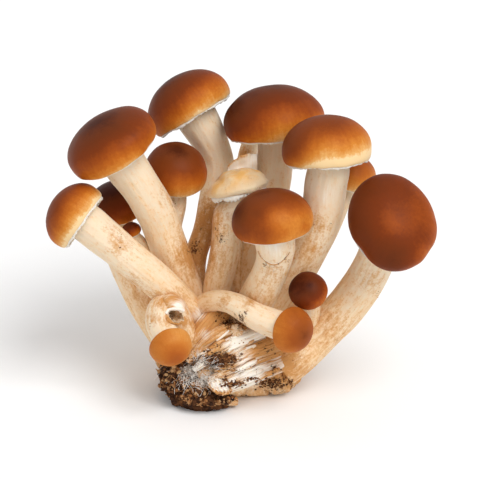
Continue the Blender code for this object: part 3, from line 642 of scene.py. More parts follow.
def film_at(place):
    """Return how thickly the white threads cover a place."""
    shown = picture(place)
    film = 0.0
    for across, up, wide, high, number, _ in THREAD_PATCHES:
        away = ((shown.x - across) / wide) ** 2 + ((shown.y - up) / high) ** 2
        film += number / 45 * exp(-1.2 * away)
    return film


def soil_material():
    """Dark growing soil, white where the threads film it over."""
    tree, shader = new_material("soil", 0.9, gloss=0.2)
    place = add_node(tree, "ShaderNodeTexCoord").outputs["Object"]
    grain = cloud(tree, place, 900.0, 4.0, 0.7)
    level = total(tree, painted(tree, "tint"), centred(tree, grain, 1.2),
                  centred(tree, cloud(tree, place, 260.0, 2.0), 0.5))
    wisps = cloud(tree, place, 420.0, 5.0, 0.7, 1.2)
    film = total(tree, painted(tree, "film"), centred(tree, wisps, 2.6))
    film = ramp(tree, film, [(0.45, 0.0), (1.0, 0.9)])
    coat(tree, shader, blend(tree, film, ramp(tree, level, SOIL_TONES), FILM_WHITE), grain, 0.8, 0.4)


def thread_material():
    """White threads of mycelium."""
    tree, shader = new_material("mycelium", 0.8)
    place = add_node(tree, "ShaderNodeTexCoord").outputs["Object"]
    colour = ramp(tree, cloud(tree, place, 300.0, 2.0), THREAD_TONES)
    tree.links.new(colour, shader.inputs["Base Color"])


# Meshes

def layers_of(shape, names):
    """Give a bmesh the attributes that its material reads."""
    layers = {"grown": shape.verts.layers.float_vector.new("grown")}
    for name in names:
        kind = shape.verts.layers.float_vector if name == "radial" else shape.verts.layers.float
        layers[name] = kind.new(name)
    return layers


def add_object(name, shape):
    """Turn a bmesh in millimetres into an object at the origin."""
    bmesh.ops.scale(shape, vec=(MM, MM, MM), verts=shape.verts)
    mesh = bpy.data.meshes.new(name)
    shape.to_mesh(mesh)
    shape.free()
    mesh.shade_smooth()
    item = bpy.data.objects.new(name, mesh)
    bpy.context.scene.collection.objects.link(item)
    return item


def add_piece(name, shape, materials, nodes=()):
    """Turn a bmesh in millimetres into a finished piece that rides on the cluster."""
    piece = add_object(name, shape)
    for material in materials:
        piece.data.materials.append(material)
    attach(piece, BODY)
    if nodes:
        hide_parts(*nodes)
    return piece


def spin_profile(shape, profile, sides):
    """Turn an open profile of (radius, height) about Z into a smooth shell."""
    verts = [shape.verts.new((x, 0, z)) for x, z in profile]
    edges = [shape.edges.new(pair) for pair in zip(verts, verts[1:])]
    bmesh.ops.spin(shape, geom=verts + edges, axis=(0, 0, 1), cent=(0, 0, 0),
                   angle=2 * pi, steps=sides, use_merge=True)
    bmesh.ops.remove_doubles(shape, verts=shape.verts, dist=0.0005)
    bmesh.ops.recalc_face_normals(shape, faces=shape.faces)


def uneven(place, radius, stem_radius, seed):
    """Push a cap's outside about a little, as the solid does."""
    if place.to_2d().length > stem_radius + 1.4:
        unit = place / radius
        swell = noise.noise(unit * 0.9 + Vector((seed * 3.7, 0, 0)))
        place.xy *= 1 + 0.045 * swell * min(1.0, unit.to_2d().length * 1.4)


def latitude(place, cap):
    """Return 0 at the crown, WIDEST at the widest ring, 1 at the margin and INSIDE behind it."""
    reach = place.to_2d().length
    if place.z >= 0:
        return WIDEST * atan2(reach / cap.radius, place.z / (cap.radius * cap.dome)) / (pi / 2)
    if reach >= (MARGIN_RADIUS - 0.002) * cap.radius:
        low = min(1.0, -place.z / (cap.drop * cap.radius))
        return WIDEST + (1 - WIDEST) * asin(low) / (pi / 2)
    return INSIDE


def cap_profile(cap, stem_radius):
    """Return (radius, height) from the crown down, round the lip and in to the socket."""
    radius = cap.radius
    points = [(radius * sin(a), radius * cap.dome * cos(a))
              for a in (pi / 2 * step / DOME_RINGS for step in range(DOME_RINGS + 1))]
    for step in range(1, SIDE_RINGS + 1):
        a = pi / 2 * step / SIDE_RINGS
        points.append((radius * (MARGIN_RADIUS + SIDE_BULGE * cos(a)), -cap.drop * radius * sin(a)))
    lip = LIP * radius
    low = -cap.drop * radius
    ceiling = -SOCKET_DEPTH * radius
    return points + [
        (MARGIN_RADIUS * radius - 0.8 * lip, low + 0.1 * lip),
        (MARGIN_RADIUS * radius - 1.6 * lip, low + 0.6 * lip),
        (0.83 * radius, 0.7 * low),
        (0.76 * radius, 0.4 * ceiling + 0.15 * low),
        (stem_radius + 0.5, ceiling),
        (0, ceiling),
    ]


def near(shown, across, up, reach):
    """Return 1 at a place in the picture, falling softly to 0 beyond the reach."""
    return exp(-((shown - Vector((across, up))).length / reach) ** 2)


def margin_wave(way, index):
    """Return how far the margin waves along the cap's axis, in radii."""
    return noise.noise(Vector((way.x * 3.0, way.y * 3.0, index * 9.1))) * 0.02


def build_cap(index, name, skin, flesh):
    """Model one cap's skin with its curled margin, and paint its ripeness and its painted light on it.
    """
    cap = CAPS[name]
    radius = cap.radius
    stem_radius = STEMS[name][0]
    weathered = name == "pale"
    button = name in BUTTONS
    look = bpy.context.scene.pioppino_caps
    shape = bmesh.new()
    spin_profile(shape, cap_profile(cap, stem_radius), look.sides * 3 // 5 if button else look.sides)
    layers = layers_of(shape, ["ripe", "radial"])
    matrix = cap_matrix(cap)
    turn = matrix.to_3x3()
    shift = Vector((17.0 * index, 5.0 * index, 0))
    crown = BUTTON_RIPE if button else CROWN_RIPE
    inside = set()
    for vert in shape.verts:
        place = vert.co
        level = latitude(place, cap)
        unit = place / radius
        vert[layers["grown"]] = unit + shift
        flat = unit.to_2d()
        flat = flat.normalized() if flat.length > 0.001 else Vector((0, 0))
        vert[layers["radial"]] = Vector((flat.x, flat.y, level)) + shift
        # Painted light: the side that faces LIT_SIDE is painted paler and the far side darker.
        side = (turn @ unit).dot(LIT_SIDE)
        ripe = crown + (1 - crown) * level - cap.dark
        ripe += look.lit_side * (side + 0.1) * soft(level, 0.0, 0.5)
        if weathered and place.z > 0:
            rise = place.z / (radius * cap.dome)
            place.xy *= 1 - 0.35 * rise * (1 - rise)
            place.x -= 1.2 * rise
        uneven(place, radius, stem_radius, index)
        if level == INSIDE:
            inside.add(vert)
        else:
            ripple = noise.noise(unit * 2.1 + shift) * 0.014 + noise.noise(unit * 5.5 + shift) * 0.004
            ripple = ripple * (4.5 if weathered else 1.0) - SHRINK
            wave = margin_wave(flat, index) * radius * soft(level, 0.75, 1.0)
            vert.co = place * (1 + ripple) + Vector((0, 0, wave))
        vert.co = matrix @ vert.co
        shown = picture(vert.co)
        inward = (matrix.translation - vert.co).normalized()
        if level != INSIDE and inward.dot(VIEWER) < 0.4:
            for across, up, reach, depth in DENTS.get(name, ()):
                vert.co += inward * depth * near(shown, across, up, reach)
            # The marks are partly painted highlights and shade, partly the skin's own paler and darker
            # patches.
            for across, up, reach, change in MARKS.get(name, ()):
                ripe += change * near(shown, across, up, reach)
        vert[layers["ripe"]] = ripe
    for face in shape.faces:
        if inside.issuperset(face.verts):
            face.material_index = 1
    bmesh.ops.recalc_face_normals(shape, faces=shape.faces)
    add_piece(f"cap_{name}_skin", shape, [skin, flesh],
              [f"cap_{name}"])


def build_gills(index, name, material):
    """Model the gills as thin blades between the margin and the stem, long and short in turn."""
    cap = CAPS[name]
    radius = cap.radius
    stem_radius = STEMS[name][0]
    look = bpy.context.scene.pioppino_caps
    blades = int(look.gills * (radius / WIDE_CAP) ** 0.5)
    thick = pi * radius / blades * 0.42
    shape = bmesh.new()
    ceiling = -SOCKET_DEPTH * radius
    deep = -0.86 * cap.drop * radius
    for turn, inner in ((0.0, stem_radius + 0.35), (0.5, 0.5 * (stem_radius + 0.8 * radius))):
        outline = [(inner, ceiling + 0.2), (inner, 0.55 * deep),
                   (0.5 * inner + 0.4 * radius, 0.9 * deep), (0.80 * radius, deep),
                   (0.855 * radius, 0.85 * deep), (0.78 * radius, ceiling + 0.2)]
        verts = [shape.verts.new((x, -thick / 2, z)) for x, z in outline]
        face = shape.faces.new(verts)
        wall = bmesh.ops.extrude_face_region(shape, geom=[face])["geom"]
        moved = [item for item in wall if isinstance(item, bmesh.types.BMVert)]
        bmesh.ops.translate(shape, vec=(0, thick, 0), verts=moved)
        blade = verts + moved
        bmesh.ops.rotate(shape, cent=(0, 0, 0), verts=blade,
                         matrix=Matrix.Rotation(turn * 2 * pi / blades, 3, "Z"))
        faces = list({face for vert in blade for face in vert.link_faces})
        edges = list({edge for vert in blade for edge in vert.link_edges})
        bmesh.ops.spin(shape, geom=blade + edges + faces, axis=(0, 0, 1), cent=(0, 0, 0),
                       angle=2 * pi * (blades - 1) / blades, steps=blades - 1, use_duplicate=True)
    layers = layers_of(shape, [])
    matrix = cap_matrix(cap)
    for vert in shape.verts:
        vert[layers["grown"]] = vert.co / radius
        sway = noise.noise(Vector((vert.co.x, vert.co.y, 0)) * 0.35) * 0.25
        uneven(vert.co, radius, stem_radius, index)
        vert.co = matrix @ (vert.co + Vector((0, 0, sway if vert.co.z < ceiling else 0)))
    bmesh.ops.recalc_face_normals(shape, faces=shape.faces)
    piece = add_piece(f"cap_{name}_gills", shape, [material])
    piece.data.set_sharp_from_angle(angle=radians(40))


def build_veil(index, name, material):
    """Model the white veil: a closed skin on a button, or the torn edge left at a margin."""
    cap = CAPS[name]
    radius = cap.radius
    stem_radius = STEMS[name][0]
    shape = bmesh.new()
    low = -cap.drop * radius
    hang = HANG[cap.veil]
    closed = cap.veil == "closed"
    if closed:
        profile = [(0.885 * radius, low + 0.25), (0.893 * radius, low - 0.12),
                   (0.86 * radius, low - 0.4)]
        for step in range(1, 9):
            share = step / 8
            reach = 0.86 * radius + (stem_radius * 1.01 - 0.86 * radius) * share
            profile.append((reach, low - 0.4 - 0.16 * radius * sin(share * pi / 2)))
    else:
        profile = [(0.86 * radius, low + 0.25), (0.892 * radius, low + 0.05),
                   (0.885 * radius, low - 0.35 * hang), (0.86 * radius, low - 0.62 * hang),
                   (0.83 * radius, low - 0.55 * hang), (0.80 * radius, low - 0.25 * hang)]
    spin_profile(shape, profile, VEIL_SIDES)
    layers = layers_of(shape, [])
    matrix = cap_matrix(cap)
    for vert in shape.verts:
        unit = vert.co / radius
        vert[layers["grown"]] = unit + Vector((9.0 * index, 0, 0))
        angle = Vector((unit.x, unit.y, 0)).normalized()
        if closed:
            vert.co.z += 0.12 * noise.noise(unit * 7.0)
        else:
            torn = noise.noise(angle * 2.2 + Vector((index * 4.1, 0, 0)))
            torn += 0.7 * noise.noise(angle * 13.0) + 0.4 * noise.noise(angle * 31.0)
            free = soft(low + 0.05 - vert.co.z, 0, 0.4) if vert.co.z < low else 0.0
            inner = soft(0.88 * radius - vert.co.to_2d().length, 0, 0.06 * radius)
            vert.co.z -= (0.6 * hang * torn + 0.1) * free
            vert.co.xy *= 1 - 0.05 * inner * max(0.0, torn)
        uneven(vert.co, radius, stem_radius, index)
        vert.co = matrix @ (vert.co + Vector((0, 0, margin_wave(angle, index) * radius)))
    bmesh.ops.recalc_face_normals(shape, faces=shape.faces)
    bmesh.ops.solidify(shape, geom=shape.faces[:], thickness=0.12)
    bmesh.ops.recalc_face_normals(shape, faces=shape.faces)
    add_piece(f"cap_{name}_veil", shape, [material])


def stem_points(name):
    """Return a stem's points, starting under its cap and leaving it along the cap's axis."""
    cap = CAPS[name]
    top_radius, route = STEMS[name]
    axis = pointing(cap.lean, cap.tilt)
    top = seen(*cap.seat) - axis * (SOCKET_DEPTH * cap.radius + GAP)
    points = [(*(top - axis * share * cap.radius), top_radius) for share in (0, 0.15, 0.4)]
    return points + [(*seen(*row[:3]), row[3]) for row in route]


def smooth_route(points, steps):
    """Return a smooth row of (place, radius) that passes through every point given."""
    ends = [points[0]] + points + [points[-1]]
    route = []
    for before, start, stop, after in zip(ends, ends[1:], ends[2:], ends[3:]):
        for step in range(steps):
            t = step / steps
            row = [0.5 * (2 * b + (c - a) * t + (2 * a - 5 * b + 4 * c - d) * t ** 2
                          + (3 * b - a - 3 * c + d) * t ** 3)
                   for a, b, c, d in zip(before, start, stop, after)]
            route.append((Vector(row[:3]), row[3]))
    route.append((Vector(points[-1][:3]), points[-1][3]))
    return route


def ease(route, rounds):
    """Even out the sharp bends of a route, and keep its ends."""
    for _ in range(rounds):
        eased = [((a[0] + 2 * b[0] + c[0]) / 4, (a[1] + 2 * b[1] + c[1]) / 4)
                 for a, b, c in zip(route[1:], route[2:], route[3:])]
        route = route[:2] + eased + route[-1:]
    return route


def stations(route):
    """Give each ring of a tube its frame, carried along without twisting, and its distance."""
    rings = []
    side = None
    travelled = 0.0
    for index, (place, radius) in enumerate(route):
        ahead = route[min(index + 1, len(route) - 1)][0] - route[max(index - 1, 0)][0]
        ahead.normalize()
        side = ahead.orthogonal() if side is None else side - side.dot(ahead) * ahead
        side.normalize()
        if index:
            travelled += (place - route[index - 1][0]).length
        rings.append((place, radius, side.copy(), ahead.cross(side), travelled))
    return rings


def stain_at(place, facing):
    """Return how white, ochre and dirty the flesh is at a place, from the stains on show and one
    painted patch of light.
    """
    found = {"white": 0.0, "ochre": 0.0, "dirt": 0.0}
    if facing > -0.1:
        shown = picture(place)
        for kind, stains in STAINS.items():
            for across, up, reach, strength in stains:
                away = ((shown.x - across) ** 2 + (shown.y - up) ** 2) / reach ** 2
                if away < 5:
                    found[kind] += strength * exp(-away)
    return found


def paint(vert, layers, grown, white, ochre, dirt, warm=0.0):
    """Set what the flesh material reads at a vertex."""
    vert[layers["grown"]] = grown
    vert[layers["white"]] = white
    vert[layers["ochre"]] = ochre
    vert[layers["dirt"]] = dirt
    vert[layers["warm"]] = warm


def ridged(place):
    """Return noise with sharp ridges, from -1 to 1."""
    return 1 - 2 * min(1.0, 1.6 * abs(noise.noise(place)))


def add_tube(shape, layers, points, seed, tone, growth):
    """Add a tube along its route to a bmesh, with fibres, ridges and painted stains."""
    rings = stations(ease(smooth_route(points, growth.steps), growth.easing))
    length = rings[-1][4]
    shift = Vector((seed * 11.0, 0, 0))
    verts = bmesh.ops.create_grid(shape, x_segments=growth.sides, y_segments=len(rings) - 1,
                                  size=1)["verts"]
    for vert in verts:
        turn = (vert.co.x + 1) * pi
        index = round((vert.co.y + 1) / 2 * (len(rings) - 1))
        place, radius, side, other, travelled = rings[index]
        outward = cos(turn) * side + sin(turn) * other
        share = travelled / length
        around = Vector((cos(turn), sin(turn), 0))
        fibre = noise.noise(around * 5.0 + Vector((seed, 0, travelled * 0.045)))
        strand = noise.noise(around * 13.0 + Vector((0, seed, travelled * 0.07)))
        lump = noise.noise(around * 1.1 + Vector((seed, seed, travelled * 0.09)))
        wide = 1 + growth.rough * (0.030 * fibre + 0.016 * strand + 0.060 * lump)
        groove = 0.0
        if growth.ridges:
            fold = Vector((seed * 1.3, 0, travelled * 0.035))
            crest = ridged(around * 4.0 + fold)
            wide += growth.ridges * (0.16 * ridged(around * 1.7 + fold) + 0.10 * crest
                                     + 0.05 * ridged(around * 9.0 + fold))
            groove = growth.ridges * soft(0.25 - crest, 0.0, 0.8)
        for end in ((travelled, length - travelled) if growth.round_end else ()):
            tip = min(1.0, end / (growth.round_end * radius))
            wide *= sqrt(max(0.0, 1 - (1 - tip) ** 2))
        vert.co = place + outward * radius * wide
        vert.co.z = max(vert.co.z, LOWEST)
        stain = stain_at(vert.co, outward.dot(VIEWER))
        patch = 0.5 + 0.5 * noise.noise(vert.co * 0.11 + Vector((seed, 0, 0)))
        # The last value, warmer towards the foot, is partly the flesh's own tone and partly painted
        # warm bounce light.
        paint(vert, layers,
              Vector((cos(turn) * radius, sin(turn) * radius, travelled)) + shift,
              tone[0] + stain["white"] - 0.7 * groove,
              tone[1] + stain["ochre"] + 0.30 * share * patch + 0.8 * groove,
              tone[2] + stain["dirt"] + 0.30 * share * patch ** 2 + 0.6 * groove,
              soft(share, 0.0, 0.9))
    bmesh.ops.remove_doubles(shape, verts=verts, dist=0.002)
    left = [vert for vert in verts if vert.is_valid]
    rims = [edge for edge in {edge for vert in left for edge in vert.link_edges} if edge.is_boundary]
    filled = bmesh.ops.holes_fill(shape, edges=rims, sides=0)["faces"]
    bmesh.ops.triangulate(shape, faces=[face for face in filled if len(face.verts) > 4])


def start_flesh():
    """Start a bmesh with the attributes that the flesh material reads."""
    shape = bmesh.new()
    return shape, layers_of(shape, ["ochre", "dirt", "white", "warm"])


def finish_flesh(name, shape, nodes=()):
    """Finish a piece of flesh."""
    bmesh.ops.recalc_face_normals(shape, faces=shape.faces)
    return add_piece(name, shape, [bpy.data.materials["fibrous_flesh"]], nodes)


def build_tube(name, points, seed, tone, growth):
    """Model one stem or rib. The tone is (white, ochre, dirt)."""
    shape, layers = start_flesh()
    add_tube(shape, layers, points, seed, tone, growth)
    return finish_flesh(name, shape)


def touch(origin, way):
    """Return the place, the facing and the name of what a ray meets first, in millimetres."""
    graph = bpy.context.evaluated_depsgraph_get()
    hit, place, normal, _, item, _ = bpy.context.scene.ray_cast(graph, origin * MM, way)
    return (place / MM, normal, item.name) if hit else (None, None, "")


def sight(across, up):
    """Return the camera's ray through a place in the picture."""
    return EYE, (across * RIGHT + up * PICTURE_UP - EYE).normalized()


def level_ray(angle, height):
    """Return a level ray from outside to the clump's middle."""
    way = Vector((cos(angle), sin(angle), 0))
    return way * OUTSIDE + Vector((0, CLUMP_MIDDLE, height)), -way


def touch_seen(across, up):
    """Return what the camera sees at a place in the picture."""
    return touch(*sight(across, up))


def build_lump(shape, numbers, detail, rough, layers=None, tone=(0, 0, 0)):
    """Add one rough lump to a bmesh."""
    centre = Vector(numbers[:3])
    halves = Vector(numbers[3:])
    verts = bmesh.ops.create_icosphere(shape, subdivisions=detail, radius=1)["verts"]
    for vert in verts:
        unit = vert.co.copy()
        wave = noise.noise(unit * 2.6 + centre) * rough + noise.noise(unit * 8 + centre) * 0.35 * rough
        wave += noise.noise(unit * 21 + centre) * 0.12 * rough
        vert.co = unit * halves * (1 + wave) + centre
        vert.co.z = max(vert.co.z, LOWEST)
        if layers:
            stain = stain_at(vert.co, unit.dot(VIEWER))
            paint(vert, layers, vert.co, tone[0] + stain["white"], tone[1] + stain["ochre"],
                  tone[2] + stain["dirt"], 1.0)


def start_soil():
    """Start a bmesh with the attributes that the soil material reads."""
    shape = bmesh.new()
    return shape, layers_of(shape, ["tint", "film"])


def finish_soil(name, shape, nodes=()):
    """Finish a piece of soil."""
    return add_piece(name, shape, [bpy.data.materials["soil"]], nodes)


def add_crumb(shape, layers, draw, place, size, tint):
    """Add one rough crumb of soil."""
    verts = bmesh.ops.create_icosphere(shape, subdivisions=1, radius=size)["verts"]
    squash = Vector((draw.uniform(0.6, 1.2), draw.uniform(0.6, 1.2), draw.uniform(0.5, 1.0)))
    film = 0.8 * film_at(place)
    for vert in verts:
        vert.co = vert.co * squash * draw.uniform(0.7, 1.3) + place
        vert.co.z = max(vert.co.z, LOWEST)
        vert[layers["tint"]] = tint
        vert[layers["film"]] = film


def add_thread(shape, route):
    """Add one thin thread with four sides along its route, and return its vertices."""
    previous = None
    verts = []
    for place, radius, side, other, _ in stations(route):
        ring = [shape.verts.new(place + radius * (cos(a) * side + sin(a) * other))
                for a in (0, pi / 2, pi, 3 * pi / 2)]
        edges = [shape.edges.new((ring[k], ring[(k + 1) % 4])) for k in range(4)]
        if previous:
            bmesh.ops.bridge_loops(shape, edges=previous + edges)
        previous = edges
        verts += ring
    shape.faces.new(verts[:4])
    shape.faces.new(verts[-4:])
    return verts


# Settings

class PioppinoCaps(bpy.types.PropertyGroup):
    sides: IntProperty(name="Sides", description="Segments round each cap", default=120, min=24)
    gills: IntProperty(name="Gills", description="Long gills under a wide cap", default=76, min=12)
    roughness: FloatProperty(name="Roughness", description="Of the cap's skin", default=0.46,
                             min=0, max=1, subtype="FACTOR")
    sheen: FloatProperty(name="Bloom", description="Soft grey bloom on the skin", default=0.0,
                         min=0, max=1, subtype="FACTOR")
    gloss: FloatProperty(name="Gloss", description="Strength of the skin's reflections",
                         default=0.07, min=0, max=1, subtype="FACTOR")
    # Painted light: how much paler one side of each cap is painted, and the other darker.
    lit_side: FloatProperty(name="Paler side", description="How much one side ripens paler",
                            default=0.26, min=0, max=1, subtype="FACTOR")


class PioppinoStems(bpy.types.PropertyGroup):
    roughness: FloatProperty(name="Roughness", description="Of the stem's flesh", default=0.62,
                             min=0, max=1, subtype="FACTOR")
    cream: FloatVectorProperty(name="Cream", description="Clean flesh", subtype="COLOR",
                               default=(0.84, 0.68, 0.49), min=0, max=1)
    straw: FloatVectorProperty(name="Straw", description="Middle tone of the flesh",
                               subtype="COLOR", default=(0.85, 0.61, 0.37), min=0, max=1)
    tan: FloatVectorProperty(name="Tan", description="Fibres and bands", subtype="COLOR",
                             default=(0.78, 0.46, 0.20), min=0, max=1)
    ochre: FloatVectorProperty(name="Ochre", description="Stains", subtype="COLOR",
                               default=(0.58, 0.275, 0.085), min=0, max=1)
    # The white also paints one patch of light under a cap.
    white: FloatVectorProperty(name="White", description="Torn fresh flesh", subtype="COLOR",
                               default=(0.92, 0.84, 0.73), min=0, max=1)
    soil: FloatVectorProperty(name="Soil", description="Specks of soil", subtype="COLOR",
                              default=(0.10, 0.036, 0.012), min=0, max=1)


class PioppinoClump(bpy.types.PropertyGroup):
    crumbs: IntProperty(name="Crumbs", description="Crumbs of soil on the clod", default=1500, min=0)
    threads: IntProperty(name="Threads", description="White threads in the soil", default=300, min=0)
    strands: IntProperty(name="Strands", description="Root strands over the clump", default=44, min=0)
    patches: IntProperty(name="Patches", description="Patches of crumbs on the back", default=22,
                         min=0)
    straws: IntProperty(name="Straws", description="Short straws in the soil", default=45, min=0)


class PioppinoStage(bpy.types.PropertyGroup):
    floor: FloatProperty(name="Floor", description="Side of the pale table", default=12.0,
                         unit="LENGTH")
    distance: FloatProperty(name="Distance", description="From the camera to the cluster",
                            default=VIEW_DISTANCE * MM, unit="LENGTH")
    frame_width: FloatProperty(name="Framing", description="Width of the view at the cluster",
                               default=0.1728, unit="LENGTH")
    key: FloatProperty(name="Key", description="Strength of the large soft light", default=1.88)
    spread: FloatProperty(name="Spread", description="Width of the large soft light in the sky",
                          default=radians(36), subtype="ANGLE")
    sky: FloatProperty(name="Surroundings", description="Strength of the white surroundings",
                       default=0.69)


# Operators

class PIOPPINO_OT_stage(bpy.types.Operator):
    """Lay the pale table, light it softly and place the camera"""
    bl_idname = "pioppino.stage"
    bl_label = "Stage"

    def execute(self, context):
        look = context.scene.pioppino_stage
        shape = bmesh.new()
        bmesh.ops.create_grid(shape, x_segments=1, y_segments=1, size=look.floor / 2)
        mesh = bpy.data.meshes.new("table")
        shape.to_mesh(mesh)
        shape.free()
        _, shader = new_material("pale_table", 0.9, gloss=0.0)
        shader.inputs["Base Color"].default_value = (0.93, 0.93, 0.93, 1)
        mesh.materials.append(bpy.data.materials["pale_table"])
        table = bpy.data.objects.new("table", mesh)
        context.scene.collection.objects.link(table)
        self.add_lights(context, look)
        self.add_camera(context, look)
        return {"FINISHED"}

    def add_lights(self, context, look):
        """Light the cluster with white surroundings and one large soft light."""
        world = bpy.data.worlds.new("white_surroundings")
        world.use_nodes = True
        sky = world.node_tree.nodes["Background"]
        sky.inputs["Color"].default_value = (1, 1, 1, 1)
        sky.inputs["Strength"].default_value = look.sky
        context.scene.world = world
        context.scene.view_settings.view_transform = "Standard"
        light = bpy.data.lights.new("key", "SUN")
        light.angle = look.spread
        light.energy = look.key
        lamp = bpy.data.objects.new("key", light)
        lamp.rotation_euler = KEY_LIGHT.to_track_quat("Z", "Y").to_euler()
        context.scene.collection.objects.link(lamp)

    def add_camera(self, context, look):
        """Place the camera in front, looking down on the cluster."""
        view = bpy.data.cameras.new("front_view")
        view.sensor_width = 36
        view.lens = view.sensor_width * look.distance / look.frame_width
        view.clip_end = 50
        camera = bpy.data.objects.new("front_view", view)
        camera.location = MIDDLE * MM + VIEWER * look.distance
        camera.rotation_euler = VIEWER.to_track_quat("Z", "Y").to_euler()
        context.scene.collection.objects.link(camera)
        context.scene.camera = camera


class PIOPPINO_OT_materials(bpy.types.Operator):
    """Mix the finishes that the pieces share"""
    bl_idname = "pioppino.materials"
    bl_label = "Finishes"

    def execute(self, context):
        build_streaks_group()
        build_specks_group()
        flesh_material()
        gill_material()
        veil_material()
        thread_material()
        pale_skin_material()
        soil_material()
        return {"FINISHED"}


class PIOPPINO_OT_caps(bpy.types.Operator):
    """Grow the caps with their gills and veils"""
    bl_idname = "pioppino.caps"
    bl_label = "Caps"

    def execute(self, context):
        materials = bpy.data.materials
        for index, (name, cap) in enumerate(CAPS.items()):
            skin = materials["pale_skin"] if name == "pale" else skin_material(name, cap.age)
            build_cap(index, name, skin, materials["gill_flesh"])
            if name not in BUTTONS:
                build_gills(index, name, materials["gill_flesh"])
            build_veil(index, name, materials["veil"])
        return {"FINISHED"}


class PIOPPINO_OT_stems(bpy.types.Operator):
    """Grow the stems from their caps down into the clump"""
    bl_idname = "pioppino.stems"
    bl_label = "Stems"

    def execute(self, context):
        for index, name in enumerate(STEMS):
            build_tube("stem_" + name, stem_points(name), 3.1 * index + 1, (0, 0, 0),
                       BUTTON_STEM if name in BUTTONS else STEM)
        return {"FINISHED"}


